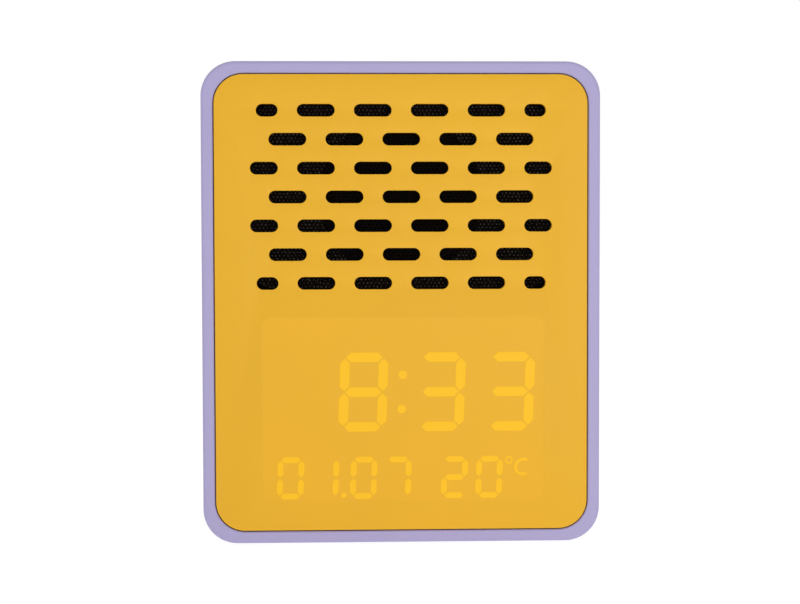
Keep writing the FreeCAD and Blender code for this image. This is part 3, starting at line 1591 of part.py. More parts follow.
def make_power_socket():
    """The power socket: a drawn steel shell, and the insulator with its tongue."""
    body = new_body("socket_shell")
    shell = new_sketch(body, "XZ", ZERO, s.port_rise, board_rear)
    stadium(shell, s.inlet_length, s.inlet_height)
    stadium(shell, s.inlet_length - 2 * s.inlet_wall, s.inlet_height - 2 * s.inlet_wall)
    pad(body, shell, inlet_mouth - board_rear)

    body = new_body("socket_tongue")
    inset = 2 * (s.inlet_wall + s.inlet_fit)
    block = new_sketch(body, "XZ", ZERO, s.port_rise, board_rear)
    stadium(block, s.inlet_length - inset, s.inlet_height - inset)
    pad(body, block, s.inlet_block)
    tongue = new_sketch(body, "XZ", ZERO, s.port_rise, board_rear)
    rectangle(tongue, s.inlet_tongue_width, s.inlet_tongue_thick)
    pad(body, tongue, inlet_mouth - s.inlet_tongue_back - board_rear)


def make_sensor():
    """The temperature sensor: a bead on two stiff leads, just inside the vents."""
    bead = doc.addObject("Part::Sphere", "sensor_bead")
    bind(bead, "Radius", s.sensor_radius)
    place(bead, sensor_x, board_rear + s.sensor_stand, s.port_rise)
    members = [bead]
    for side in (-1, 1):
        lead = doc.addObject("Part::Cylinder", "sensor_lead")
        bind(lead, "Radius", s.sensor_lead)
        bind(lead, "Height", s.sensor_stand)
        turned(lead, X_AXIS, -90)
        place(lead, sensor_x + side * s.sensor_lead_spread / 2, board_rear, s.port_rise)
        members.append(lead)
    joined = doc.addObject("Part::MultiFuse", "temperature_sensor")
    joined.Shapes = members
    pieces.append(joined)


def make_main_board():
    """The main board on the cover's bosses, and the small parts that its two boards carry on their faces."""
    middle = (ZERO, s.board_rise, board_front)
    body = make_slab("main_board", middle, board_width, s.board_height, s.board_corner, s.board_thick)
    first = (-board_hole_span / 2, board_hole_low, board_front - s.overrun)
    spans = (board_hole_span, board_hole_rise)
    holes(body, "XZ", first, screw_pass, s.board_thick + 2 * s.overrun, spans)

    chips = []
    for across, up, length_share, height_share in CHIP_SHARES:
        length, height = length_share * board_width, height_share * s.board_height
        x = across * board_width - length / 2
        z = s.board_rise + up * s.board_height - height / 2
        chips.append(box(length, s.chip_thick, height, x, board_front - s.chip_thick, z))
    group("chips", chips)

    cans = []
    for across, up in CAPACITOR_SHARES:
        can = doc.addObject("Part::Cylinder", "capacitor_can")
        bind(can, "Radius", s.capacitor_radius)
        bind(can, "Height", s.capacitor_length)
        turned(can, X_AXIS, 90)
        place(can, across * board_width, board_front, s.board_rise + up * s.board_height)
        cans.append(can)
    group("capacitors", cans)


# Where each pair of wires is plugged in: x and z on the main board's front.
plug_spots = (
    (s.speaker_plug_shift, s.top_plug_rise),
    (s.talk_plug_shift, s.top_plug_rise),
    (s.battery_plug_shift, s.battery_plug_rise),
)
plug_front = board_front - s.socket_depth - s.plug_depth


def make_plugs():
    """The sockets on the main board's front, the wire plugs in them, and the ribbon's two sockets."""
    sockets, plugs = [], []
    length, height = s.socket_length, s.socket_height
    for x, z in plug_spots:
        y = board_front - s.socket_depth
        sockets.append(box(length, s.socket_depth, height, x - length / 2, y, z - height / 2))
        z_low = z - s.plug_height / 2
        x_low = x - s.plug_length / 2
        plugs.append(box(s.plug_length, s.plug_depth, s.plug_height, x_low, plug_front, z_low))
    length, depth = s.ribbon_width + 2 * s.ribbon_socket_margin, s.ribbon_socket_depth
    for y in (display_back, board_front - depth):
        z_low = s.ribbon_rise - s.ribbon_socket_height / 2
        sockets.append(box(length, depth, s.ribbon_socket_height, s.ribbon_shift - length / 2, y, z_low))
    group("sockets", sockets)
    group("wire_plugs", plugs)


def make_battery():
    """The rechargeable cell in its taped-down holder, with a leaf contact at each end."""
    r, edge = s.cell_radius, s.cell_edge
    groove_end = cell_length - s.groove_back
    groove_start = groove_end - s.groove_width
    cell = turned(new_body("battery_cell"), Y_AXIS, 90)
    revolve(
        cell,
        [
            (ZERO, ZERO),
            (r - edge, ZERO),
            (r, edge, edge),
            (r, groove_start),
            (r - s.groove_depth, groove_start + s.groove_depth),
            (r - s.groove_depth, groove_end - s.groove_depth),
            (r, groove_end),
            (r, cell_length - edge),
            (r - edge, cell_length, edge),
            (s.nub_radius, cell_length),
            (s.nub_radius, cell_length + s.nub_height),
            (ZERO, cell_length + s.nub_height),
        ],
    )
    place(cell, s.contact_room - holder_room / 2, s.holder_back, cell_z)

    body = new_body("battery_holder")
    tray = new_sketch(body, "XY", ZERO, s.holder_back, holder_bottom)
    rectangle(tray, holder_length, holder_depth)
    pad(body, tray, s.holder_height)
    room = new_sketch(body, "XY", ZERO, s.holder_back, holder_bottom + s.holder_floor)
    rectangle(room, holder_room, holder_depth - 2 * s.holder_wall)
    pocket(body, room, s.holder_height)

    inset = 2 * s.holder_tape_inset
    length, depth = holder_length - inset, holder_depth - inset
    tape = box(length, depth, s.holder_tape_thick, -length / 2, s.holder_back - depth / 2, floor_top)
    tape.Label = "holder_tape"
    pieces.append(tape)

    body = new_body("battery_contacts")
    t, reach, tall = s.contact_thick, s.contact_room, s.contact_height
    plate = [(ZERO, ZERO), (t, ZERO), (t, tall - 2 * t)]
    tongue = [(reach - t, tall / 2), (reach, tall / 2), (t, tall), (ZERO, tall)]
    for side in (1, -1):
        y = s.holder_back - s.contact_width / 2
        sketch = new_sketch(body, "XZ", -side * holder_room / 2, cell_z - tall / 2, y)
        outline(sketch, [(side * x, z) for x, z in plate + tongue])
        pad(body, sketch, s.contact_width)


def bent_path(spots, label):
    """Straight runs joined by tangent arcs, each as large as its two runs allow. Also returns its length."""
    arcs = []
    for before, spot, after in zip(spots, spots[1:], spots[2:]):
        first, second = spot - before, after - spot
        half_turn = first.getAngle(second) / 2
        reach = ARC_SHARE * min(first.Length, second.Length)
        arcs.append((spot, reach, half_turn, first.normalize(), second.normalize()))
    print(label, "bend radii", [round(reach / math.tan(turn), 1) for _, reach, turn, _, _ in arcs])
    edges = []
    length = 0
    at = spots[0]
    for spot, reach, half_turn, first, second in arcs:
        begin, end = spot - first * reach, spot + second * reach
        radius = reach / math.tan(half_turn)
        to_middle = (second - first).normalize() * (radius / math.cos(half_turn) - radius)
        edges.append(Part.makeLine(at, begin))
        edges.append(Part.Arc(begin, spot + to_middle, end).toShape())
        length += (begin - at).Length + radius * 2 * half_turn
        at = end
    edges.append(Part.makeLine(at, spots[-1]))
    length += (spots[-1] - at).Length
    return Part.Wire(edges), length


def route(start, start_way, end, end_way):
    """Points for a limp wire from one end to another. It leaves and arrives along the given directions."""
    lead = float(s.wire_lead)
    begin = start + start_way * lead
    finish = end - end_way * lead
    handle = (finish - begin).Length * BEND_SHARE
    controls = (begin, begin + start_way * handle, finish - end_way * handle, finish)
    steps = max(3, round((finish - begin).Length / (RUN_LEADS * lead)))
    spots = [start]
    for step in range(steps + 1):
        u = step / steps
        weights = ((1 - u) ** 3, 3 * u * (1 - u) ** 2, 3 * u * u * (1 - u), u ** 3)
        spots.append(sum((c * w for c, w in zip(controls, weights)), FreeCAD.Vector()))
    return spots + [end]


def swept(path, length, profile, area, label):
    """A section swept along a path. Its volume has to be the section's area times the path's length."""
    solid = path.makePipeShell([profile], True, False)
    if abs(solid.Volume / (area * length) - 1) > VOLUME_SHARE:
        raise RuntimeError(f"{label}: the sweep's volume is {solid.Volume}, not {area * length}")
    return solid


def make_wire_pair(label, ends, start_way):
    """Two round wires, each from a solder point to its plug's front face. ends lists both (start, end)."""
    radius = float(s.wire_radius)
    tubes = []
    for start, end in ends:
        path, length = bent_path(route(start, start_way, end, Y_AXIS), label)
        profile = Part.Wire([Part.makeCircle(radius, start, start_way)])
        tubes.append(swept(path, length, profile, math.pi * radius * radius, label))
    shaped(label, Part.makeCompound(tubes))


def spot(x, y, z):
    """A point in the clock's own frame."""
    return FreeCAD.Vector(float(x), float(y), float(z))


def make_wires():
    """The three pairs of wires and the display's ribbon."""
    half = s.wire_spread / 2
    plugs = [(x, z, side) for x, z in plug_spots for side in (-1, 1)]
    tips = [spot(x + side * half, plug_front, z) for x, z, side in plugs]
    tags = [spot(side * s.tag_spread / 2, tag_end, tag_z) for side in (-1, 1)]
    make_wire_pair("speaker_wires", list(zip(tags, tips[0:2])), Y_AXIS)
    under = talk_board_top - s.board_thick
    pads = [spot(s.talk_wire_shift + side * half, s.talk_wire_back, under) for side in (-1, 1)]
    make_wire_pair("talk_wires", list(zip(pads, tips[2:4])), -Z_AXIS)
    plate_top = cell_z + s.contact_height / 2
    plate_x = holder_room / 2 - s.contact_thick / 2
    ears = [spot(side * plate_x, s.holder_back, plate_top) for side in (-1, 1)]
    make_wire_pair("battery_wires", list(zip(ears, tips[4:6])), Z_AXIS)

    begin = spot(s.ribbon_shift, display_back + s.ribbon_socket_depth, s.ribbon_rise)
    end = spot(s.ribbon_shift, board_front - s.ribbon_socket_depth, s.ribbon_rise)
    way = end - begin
    dip = Z_AXIS * float(s.ribbon_dip)
    spots = [begin, *(begin + way * along - dip * down for along, down in RIBBON_SHARES), end]
    path, length = bent_path(spots, "display_ribbon")
    width, thick = float(s.ribbon_width), float(s.ribbon_thick)
    signs = ((-1, -1), (1, -1), (1, 1), (-1, 1))
    corners = [begin + X_AXIS * (i * width / 2) + Z_AXIS * (j * thick / 2) for i, j in signs]
    profile = Part.makePolygon(corners + corners[:1])
    shaped("display_ribbon", swept(path, length, profile, width * thick, "display_ribbon"))


make_housing()
make_feet()
make_front_panel()
make_panel_tape()
make_slab("speaker_mesh", (ZERO, grille_z, panel_back), mesh_width, mesh_height, s.mesh_corner, s.mesh_thick)
make_baffle()
make_gasket()
make_basket()
make_surround()
make_spider()
make_cone_assembly()
make_magnet_system()
make_terminals()
make_display()
make_main_board()
make_rear_cover()
make_switches()
make_buttons()
make_talk_bar()
make_talk_board()
make_slide_switch()
make_power_socket()
make_sensor()
make_battery()
make_plugs()
make_wires()
make_all_screws()

doc.recompute()
for thing in doc.Objects:
    if "Invalid" in thing.State or "Error" in thing.State:
        raise RuntimeError(f"{thing.Label} failed: {thing.State}")
os.makedirs("parts", exist_ok=True)
for piece in pieces:
    shape = piece.Shape
    if shape.isNull() or not shape.isValid() or not shape.Solids:
        raise RuntimeError(f"{piece.Label} has no valid shape")
    shape.exportStep(f"parts/{piece.Label}.step")
    print(f"{piece.Label}: {len(shape.Solids)} solids, {shape.Volume:.1f} mm3")
print(len(pieces), "sub-parts")
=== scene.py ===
# %% [markdown]
# A talking table clock, dressed in Blender.
# The clock is a lilac sleeve with a mustard front panel. Sound comes out of staggered slots, and a light
# display shines through the plastic below them. Its shapes come from a CAD model, which stands here as a
# fixed frame. This lesson gives every piece its finish, and remakes the pieces that need more than CAD holds.
# First comes the frame itself. Its box is kept.

# %% Load the frame
import json
import math

import bmesh
import bpy
from mathutils import Matrix, Vector


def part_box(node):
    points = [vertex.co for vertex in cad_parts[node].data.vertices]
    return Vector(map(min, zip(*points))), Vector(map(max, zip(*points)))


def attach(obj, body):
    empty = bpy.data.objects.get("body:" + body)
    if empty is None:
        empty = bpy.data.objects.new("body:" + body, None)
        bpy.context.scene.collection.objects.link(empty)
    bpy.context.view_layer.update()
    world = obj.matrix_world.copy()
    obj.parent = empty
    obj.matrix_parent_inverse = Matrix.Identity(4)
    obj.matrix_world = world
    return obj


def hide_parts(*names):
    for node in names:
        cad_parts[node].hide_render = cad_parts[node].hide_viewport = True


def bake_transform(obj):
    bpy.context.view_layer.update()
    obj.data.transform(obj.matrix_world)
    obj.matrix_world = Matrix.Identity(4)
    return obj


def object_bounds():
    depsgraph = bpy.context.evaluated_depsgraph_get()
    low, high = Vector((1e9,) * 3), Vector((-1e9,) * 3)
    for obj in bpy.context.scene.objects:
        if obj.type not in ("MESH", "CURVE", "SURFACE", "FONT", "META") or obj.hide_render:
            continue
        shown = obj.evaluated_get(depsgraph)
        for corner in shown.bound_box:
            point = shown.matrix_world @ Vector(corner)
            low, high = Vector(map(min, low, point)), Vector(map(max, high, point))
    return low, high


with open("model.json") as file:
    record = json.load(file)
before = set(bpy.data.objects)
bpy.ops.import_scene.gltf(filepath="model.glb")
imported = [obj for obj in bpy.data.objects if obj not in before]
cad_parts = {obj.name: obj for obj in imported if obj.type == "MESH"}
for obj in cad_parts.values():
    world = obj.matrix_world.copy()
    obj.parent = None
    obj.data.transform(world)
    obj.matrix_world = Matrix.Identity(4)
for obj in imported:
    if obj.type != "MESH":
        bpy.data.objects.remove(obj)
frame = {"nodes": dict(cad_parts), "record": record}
bpy.context.view_layer.update()
cad_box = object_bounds()
nodes = frame["nodes"]
MM = 0.001
weld_distance = MM / 1000
print("frame:", len(nodes), "pieces in a box of", [round(v / MM, 1) for v in cad_box[1] - cad_box[0]], "mm")

# %% [markdown]
# The camera stands where the photographer's did: a little above the clock's middle, half a metre away, with a
# longish lens. The top face stays hidden and the sides run almost parallel. We could aim it with a
# constraint, but three plain angles are easier to compare with a photograph.

# %% Camera
camera_place = Vector((-20.9, -540.0, 91.8)) * MM
camera_lens = 83.326
camera_turn_degrees = 2.294
camera_tilt_degrees = -2.714
camera_roll_degrees = -0.128

camera = bpy.data.objects.new("camera", bpy.data.cameras.new("camera"))
bpy.context.scene.collection.objects.link(camera)
camera.location = camera_place
aim = Matrix.Rotation(math.radians(-camera_turn_degrees), 3, "Z")
aim = aim @ Matrix.Rotation(math.radians(90 + camera_tilt_degrees), 3, "X")
camera.rotation_euler = (aim @ Matrix.Rotation(math.radians(camera_roll_degrees), 3, "Z")).to_euler()
camera.data.lens = camera_lens
camera.data.sensor_width = 36.0
camera.data.clip_start = 10 * MM
bpy.context.scene.camera = camera
bpy.context.scene.view_settings.view_transform = "Standard"
print("camera:", round(camera_place.length / MM), "mm from the clock's foot")

# %% [markdown]
# Shader and geometry trees are built from the same two moves: add a node, and plug a value or another node's
# socket into each input. One helper does both, so that a whole effect reads like a short recipe. Another
# puts an object into the scene.
# Colours are written as a paint shop or a picture editor gives them, from 0 to 255, and turned into light.


# %% Helpers for objects and node trees
def in_scene(name, data):
    """A new object in the scene."""
    made = bpy.data.objects.new(name, data)
    bpy.context.scene.collection.objects.link(made)
    return made


def add(tree, kind, inputs=None, **settings):
    """A new node. Each input, by name or number, gets a plain value or the socket that feeds it."""
    made = tree.nodes.new(kind)
    for name, value in settings.items():
        setattr(made, name, value)
    for name, value in (inputs or {}).items():
        if isinstance(value, bpy.types.NodeSocket):
            tree.links.new(value, made.inputs[name])
        else:
            made.inputs[name].default_value = value
    return made


def result(tree, kind, inputs=None, **settings):
    """The first output of a new node."""
    return add(tree, kind, inputs, **settings).outputs[0]


def place_in(tree):
    """A point of the piece, in its own frame."""
    return add(tree, "ShaderNodeTexCoord").outputs["Object"]


def split_place(tree):
    """X, Y and Z of that point."""
    return add(tree, "ShaderNodeSeparateXYZ", {0: place_in(tree)}).outputs


def math_node(tree, operation, first, second=0.0):
    """The output of one sum."""
    return result(tree, "ShaderNodeMath", {0: first, 1: second}, operation=operation)


def new_group(name, kind, inputs, outputs):
    """A node group with named sockets. Returns it, what it is given, and where its results go."""
    tree = bpy.data.node_groups.new(name, kind)
    for label, socket, value in inputs:
        made = tree.interface.new_socket(label, in_out="INPUT", socket_type=socket)
        if value is not None:
            made.default_value = value
    for label, socket in outputs:
        tree.interface.new_socket(label, in_out="OUTPUT", socket_type=socket)
    return tree, tree.nodes.new("NodeGroupInput").outputs, tree.nodes.new("NodeGroupOutput").inputs


def paint(red, green, blue):
    """A colour from 0 to 255 as linear light."""
    shares = (channel / 255 for channel in (red, green, blue))
    return tuple(c / 12.92 if c <= 0.04045 else ((c + 0.055) / 1.055) ** 2.4 for c in shares) + (1.0,)


# %% [markdown]
# The studio is a white sweep with soft light from all sides, as for a shop picture. The world gives most of
# the light, so a colour renders about as it is written. Four soft lamps add a little direction, which shows
# the rounded edges. To the camera, the floor and the world are simply white. That comes from Light Path in
# their own materials, not from more lamps.

# %% Studio
world_light = 0.63
floor_glow = 0.92
table_glow = 0.56
floor_half = 3.0
floor_drop = 0.02 * MM
lamps = (
    ("key_lamp", (0.5, -1.0, 0.03), 0.8, 1.9),
    ("fill_lamp", (-0.5, -0.8, 0.0), 0.8, 1.0),
    ("low_lamp", (0.1, -0.32, 0.0), 0.24, 0.3),
    ("top_lamp", (0.1, 0.35, 1.0), 0.7, 0.1),
)


def make_world():
    """White for the camera, and for what mirrors or lets it through; a plain soft light for the rest."""
    world = bpy.data.worlds.new("studio")
    bpy.context.scene.world = world
    world.use_nodes = True
    tree = world.node_tree
    tree.nodes.clear()
    path = add(tree, "ShaderNodeLightPath").outputs
    seen = math_node(tree, "MAXIMUM", path["Is Camera Ray"], path["Is Transmission Ray"])
    soft, white = (
        result(tree, "ShaderNodeBackground", {"Color": (1, 1, 1, 1), "Strength": strength})
        for strength in (world_light, 1.0)
    )
    mixed = result(tree, "ShaderNodeMixShader", {0: seen, 1: soft, 2: white})
    add(tree, "ShaderNodeOutputWorld", {"Surface": mixed})


def make_floor():
    """A white table, lit a little from below. For the camera it glows white, with a trace of the shadow.

    From below it is clear, so that the clock's feet can be looked at.
    """
    mesh = bpy.data.meshes.new("floor")
    corners = [(-floor_half, -floor_half, -floor_drop), (floor_half, -floor_half, -floor_drop)]
    corners += [(floor_half, floor_half, -floor_drop), (-floor_half, floor_half, -floor_drop)]
    mesh.from_pydata(corners, [], [(0, 1, 2, 3)])
    floor = in_scene("floor", mesh)
    material = bpy.data.materials.new("floor_white")
    material.use_nodes = True
    tree = material.node_tree
    tree.nodes.clear()
    path = add(tree, "ShaderNodeLightPath").outputs
    seen = math_node(tree, "MAXIMUM", path["Is Camera Ray"], path["Is Glossy Ray"])
    seen = math_node(tree, "MAXIMUM", seen, path["Is Transmission Ray"])
    layers = []
    for grey, strength in ((0.5, table_glow), (0.2, floor_glow)):
        matt = result(tree, "ShaderNodeBsdfDiffuse", {"Color": (grey, grey, grey, 1)})
        glow = result(tree, "ShaderNodeEmission", {"Color": (1, 1, 1, 1), "Strength": strength})
        layers.append(result(tree, "ShaderNodeAddShader", {0: matt, 1: glow}))
    table = result(tree, "ShaderNodeMixShader", {0: seen, 1: layers[0], 2: layers[1]})
    clear = result(tree, "ShaderNodeBsdfTransparent")
    below = add(tree, "ShaderNodeNewGeometry").outputs["Backfacing"]
    mixed = result(tree, "ShaderNodeMixShader", {0: below, 1: table, 2: clear})
    add(tree, "ShaderNodeOutputMaterial", {"Surface": mixed})
    mesh.materials.append(material)


def make_lamp(name, place, size, power):
    """A soft square lamp that faces the clock's middle."""
    lamp = in_scene(name, bpy.data.lights.new(name, "AREA"))
    lamp.data.size = size
    lamp.data.energy = power
    lamp.location = place
    towards = (cad_box[0] + cad_box[1]) / 2 - lamp.location
    lamp.rotation_euler = towards.to_track_quat("-Z", "Y").to_euler()


make_world()
make_floor()
for lamp in lamps:
    make_lamp(*lamp)
print("studio:", len(lamps), "lamps")

# %% [markdown]
# A moulded surface is never quite flat. The mould is spark-eroded, which leaves tiny pits, and hands and
# handling leave faint clouds of more or less shine. Both effects serve many materials, so each is a group
# that is built once. A group gives only masks and heights. The shader that uses them stays in the material.


# %% Shared effects
def noise_mask(tree, where, size, detail, low, high):
    """Noise of a given size, and the same noise as a mask that runs from low to high."""
    scale = math_node(tree, "DIVIDE", 1.0, size)
    noise = result(tree, "ShaderNodeTexNoise", {"Vector": where, "Scale": scale, "Detail": detail})
    return noise, result(tree, "ShaderNodeMapRange", {0: noise, 1: low, 2: high})


def make_grain():
    """Fine pits of a given size, and the same pits as a mask."""
    tree, given, put = new_group(
        "mould grain",
        "ShaderNodeTree",
        [("Size", "NodeSocketFloat", 0.4 * MM)],
        [("Height", "NodeSocketFloat"), ("Mask", "NodeSocketFloat")],
    )
    where = place_in(tree)
    scale = math_node(tree, "DIVIDE", 1.0, given["Size"])
    pits = add(tree, "ShaderNodeTexVoronoi", {"Vector": where, "Scale": scale}, feature="SMOOTH_F1")
    haze, mask = noise_mask(tree, where, given["Size"], 3.0, 0.3, 0.7)
    both = math_node(tree, "ADD", math_node(tree, "MULTIPLY", pits.outputs["Distance"], 0.6), haze)
    tree.links.new(both, put["Height"])
    tree.links.new(mask, put["Mask"])
    return tree


def make_clouds():
    """Slow, soft patches from 0 to 1, for tone and shine."""
    tree, given, put = new_group(
        "clouds", "ShaderNodeTree", [("Size", "NodeSocketFloat", 30 * MM)], [("Mask", "NodeSocketFloat")]
    )
    tree.links.new(noise_mask(tree, place_in(tree), given["Size"], 2.0, 0.3, 0.7)[1], put["Mask"])
    return tree


def make_strands():
    """Long fine lines along one axis: brush marks, paper fibres, drawn wire."""
    tree, given, put = new_group(
        "strands",
        "ShaderNodeTree",
        [("Width", "NodeSocketFloat", 0.1 * MM), ("Stretch", "NodeSocketVector", (1.0, 1.0, 0.05))],
        [("Mask", "NodeSocketFloat")],
    )
    where = place_in(tree)
    drawn = result(tree, "ShaderNodeMapping", {"Vector": where, "Scale": given["Stretch"]})
    tree.links.new(noise_mask(tree, drawn, given["Width"], 4.0, 0.35, 0.65)[1], put["Mask"])
    return tree


def make_weave():
    """Threads over and under each other, across X and along Z."""
    tree, given, put = new_group(
        "weave", "ShaderNodeTree", [("Pitch", "NodeSocketFloat", 0.5 * MM)], [("Height", "NodeSocketFloat")]
    )
    axes = split_place(tree)
    turn = math_node(tree, "DIVIDE", 2 * math.pi, given["Pitch"])
    across = math_node(tree, "SINE", math_node(tree, "MULTIPLY", axes["X"], turn))
    along = math_node(tree, "SINE", math_node(tree, "MULTIPLY", axes["Z"], turn))
    tree.links.new(math_node(tree, "MULTIPLY", across, along), put["Height"])
    return tree


grain, clouds, strands, weave = make_grain(), make_clouds(), make_strands(), make_weave()
print("effects:", ", ".join(group.name for group in (grain, clouds, strands, weave)))

# %% [markdown]
# Every finish below is one Principled shader with a few masks on it. One helper makes the bare shader. Others
# run its colour or its roughness along a mask, or turn a height into a bump. Many finishes need a single
# effect for all of that, so the last helper makes them in one call.


# %% Helpers for finishes
finishes = {}


def new_finish(name, colour, roughness, metal=0.0, shine=0.5):
    """A material with one shader, kept in finishes. Returns its tree and its shader."""
    material = finishes[name] = bpy.data.materials.new(name)
    material.use_nodes = True
    tree = material.node_tree
    shader = tree.nodes["Principled BSDF"]
    shader.inputs["Base Color"].default_value = colour
    shader.inputs["Roughness"].default_value = roughness
    shader.inputs["Metallic"].default_value = metal
    shader.inputs["Specular IOR Level"].default_value = shine
    return tree, shader


def place(tree, group, **values):
    """One copy of a shared effect, with its own values."""
    made = add(tree, "ShaderNodeGroup", node_tree=group)
    for name, value in values.items():
        made.inputs[name].default_value = value
    return made.outputs


def tint(tree, shader, mask, low, high):
    """The colour runs from low to high with a mask."""
    mixed = add(tree, "ShaderNodeMix", {0: mask, 6: low, 7: high}, data_type="RGBA")
    tree.links.new(mixed.outputs[2], shader.inputs["Base Color"])


def dull(tree, shader, mask, low, high):
    """The roughness runs from low to high with a mask."""
    spread = result(tree, "ShaderNodeMapRange", {0: mask, 3: low, 4: high})
    tree.links.new(spread, shader.inputs["Roughness"])


def raise_bump(tree, shader, height, depth):
    """A height from 0 to 1 becomes a bump of that depth."""
    bump = result(tree, "ShaderNodeBump", {"Height": height, "Distance": depth, "Strength": 1.0})
    tree.links.new(bump, shader.inputs["Normal"])


def shade(colour, factor):
    """The same colour, lighter or darker."""
    return tuple(min(1.0, channel * factor) for channel in colour[:3]) + (1.0,)


def textured(name, colour, roughness, effect, tones, depth, spread=None, metal=0.0, shine=0.5, **sizes):
    """A finish drawn by one effect: the tone between two shades, the spread of the roughness, and a bump.

    An effect gives its height first and its mask last. Most give only one of them, which then serves as both.
    """
    tree, shader = new_finish(name, colour, roughness, metal, shine)
    made = place(tree, effect, **sizes)
    height, mask = made[0], made[-1]
    tint(tree, shader, mask, shade(colour, tones[0]), shade(colour, tones[1]))
    if spread:
        dull(tree, shader, mask, roughness - spread[0], roughness + spread[1])
    raise_bump(tree, shader, height, depth * MM)


# %% [markdown]
# Moulded plastic covers most of what we see. Satin plastics differ only in colour, in the size of the grain
# and in how deep it is, so one recipe makes them all: grain as a bump, clouds in the shine, and a change of
# tone that is felt more than seen.


# %% Moulded plastics
def moulded(name, colour, roughness=0.5, grain_size=0.4, grain_depth=0.006, drift=0.015):
    """A satin plastic straight from the mould. It mirrors less than a polished one would."""
    tree, shader = new_finish(name, colour, roughness, shine=0.25)
    pits = place(tree, grain, Size=grain_size * MM)
    patches = place(tree, clouds, Size=35 * MM)
    tint(tree, shader, patches["Mask"], shade(colour, 1 - drift), shade(colour, 1 + drift))
    dull(tree, shader, patches["Mask"], roughness - 0.04, roughness + 0.04)
    raise_bump(tree, shader, pits["Height"], grain_depth * MM)


lilac = paint(174, 166, 206)
mustard = paint(232, 176, 38)
glowing = paint(232, 176, 24)
moulded("case_plastic", lilac, 0.5, 0.35, 0.008)
moulded("panel_plastic", mustard, 0.46, 0.3, 0.005)
moulded("button_plastic", mustard, 0.42, 0.3, 0.004)
moulded("black_plastic", paint(24, 24, 25), 0.55, 0.4, 0.01)
moulded("baffle_plastic", paint(140, 134, 128), 0.6, 0.4, 0.01)
moulded("reflector_plastic", paint(232, 232, 228), 0.5, 0.5, 0.006)
moulded("nylon_white", paint(232, 228, 214), 0.42, 0.6, 0.004)
moulded("chip_black", paint(34, 34, 35), 0.62, 0.12, 0.006, 0.05)
print("moulded plastics:", ", ".join(finishes))

# %% [markdown]
# Rubber and foam swallow light. Rubber has a dusty bloom that follows slow clouds. Foam is a crowd of open
# cells, which a Voronoi pattern draws well when its distance is used as a height. The same distance paints
# shade into the colour, darker down in each cell.


# %% Rubber and foam
def rubber(name, colour, roughness=0.8):
    """Soft rubber with a faint bloom."""
    tree, shader = new_finish(name, colour, roughness)
    bloom = place(tree, clouds, Size=6 * MM)
    tint(tree, shader, bloom["Mask"], colour, shade(colour, 1.5))
    pits = place(tree, grain, Size=0.25 * MM)
    raise_bump(tree, shader, pits["Height"], 0.012 * MM)


def foam(name, colour, cell=0.5):
    """Open cells, with painted shade that darkens their depth."""
    tree, shader = new_finish(name, colour, 0.95)
    where = place_in(tree)
    cells = add(tree, "ShaderNodeTexVoronoi", {"Vector": where, "Scale": 1 / (cell * MM)}).outputs["Distance"]
    # Painted shade: the colour falls to 0.4 of the foam's own where the cells are deepest.
    tint(tree, shader, cells, shade(colour, 0.4), shade(colour, 1.4))
    raise_bump(tree, shader, cells, 0.1 * MM)


def ringed_rubber(name, colour, pitch):
    """The same rubber with fine rings round the middle of each foot, so that it grips."""
    rubber(name, colour)
    tree = finishes[name].node_tree
    low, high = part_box("rubber_feet")
    foot_radius = 5.0 * MM
    middle = (high.x - foot_radius, high.y - foot_radius, 0)
    where = place_in(tree)
    folded = result(tree, "ShaderNodeVectorMath", {0: where}, operation="ABSOLUTE")
    flat = result(tree, "ShaderNodeVectorMath", {0: folded, 1: (1, 1, 0)}, operation="MULTIPLY")
    reach = add(tree, "ShaderNodeVectorMath", {0: flat, 1: middle}, operation="DISTANCE").outputs["Value"]
    rings = math_node(tree, "SINE", math_node(tree, "MULTIPLY", reach, 2 * math.pi / pitch))
    raise_bump(tree, tree.nodes["Principled BSDF"], rings, 0.08 * MM)


ringed_rubber("foot_rubber", paint(42, 42, 44), 0.9 * MM)
rubber("surround_rubber", paint(30, 30, 31), 0.6)
rubber("wire_sleeve", paint(150, 30, 26), 0.45)
foam("tape_foam", paint(52, 52, 52))

# %% [markdown]
# Metals mirror the room, so their look lives in the roughness. Brushed, drawn and plated pieces get long
# strands in it. Painted and sintered ones get a fine grain.


# %% Metals
def brushed(name, colour, roughness, width=0.06):
    """Metal with fine lines along Y."""
    lines = {"Width": width * MM, "Stretch": (1.0, 0.04, 1.0)}
    textured(name, colour, roughness, strands, (0.88, 1.08), 0.004, (0.08, 0.1), metal=1.0, **lines)


def coated(name, colour, roughness, size=0.3, shine=0.5):
    """Metal under paint, lacquer or scale, with an orange-peel skin."""
    textured(name, colour, roughness, grain, (0.85, 1.15), 0.01, (0.05, 0.08), shine=shine, Size=size * MM)


brushed("zinc_steel", paint(205, 206, 212), 0.36)
brushed("screw_steel", paint(92, 92, 98), 0.4, 0.05)
brushed("contact_steel", paint(214, 212, 206), 0.28, 0.08)
brushed("can_metal", paint(214, 214, 218), 0.3, 0.05)
brushed("former_foil", paint(216, 216, 220), 0.32, 0.1)
coated("mesh_black", paint(9, 6, 4), 0.9, 0.15, shine=0.04)
coated("basket_steel", paint(44, 44, 46), 0.42, 0.5)
coated("ferrite", paint(58, 57, 58), 0.75, 0.2)
print("metals and rubbers made:", len(finishes), "finishes so far")

# %% [markdown]
# The loudspeaker brings three of its own. The cone is pressed paper with short fibres, the spider is a
# varnished cloth with a real weave, with painted shade where its threads dip under, and the coil is
# enamelled copper. The copper's turns are modelled further down.

# %% Loudspeaker finishes
fibres = {"Width": 0.25 * MM, "Stretch": (1.0, 0.3, 0.4)}
textured("cone_paper", paint(46, 46, 47), 0.9, strands, (0.7, 1.6), 0.03, **fibres)
# Painted shade: the weave's height also sets the tone, so the cloth is darker where the threads dip.
textured("spider_cloth", paint(186, 142, 82), 0.6, weave, (0.6, 1.2), 0.06, Pitch=0.5 * MM)
brushed("copper_wire", paint(206, 122, 72), 0.3, 0.2)

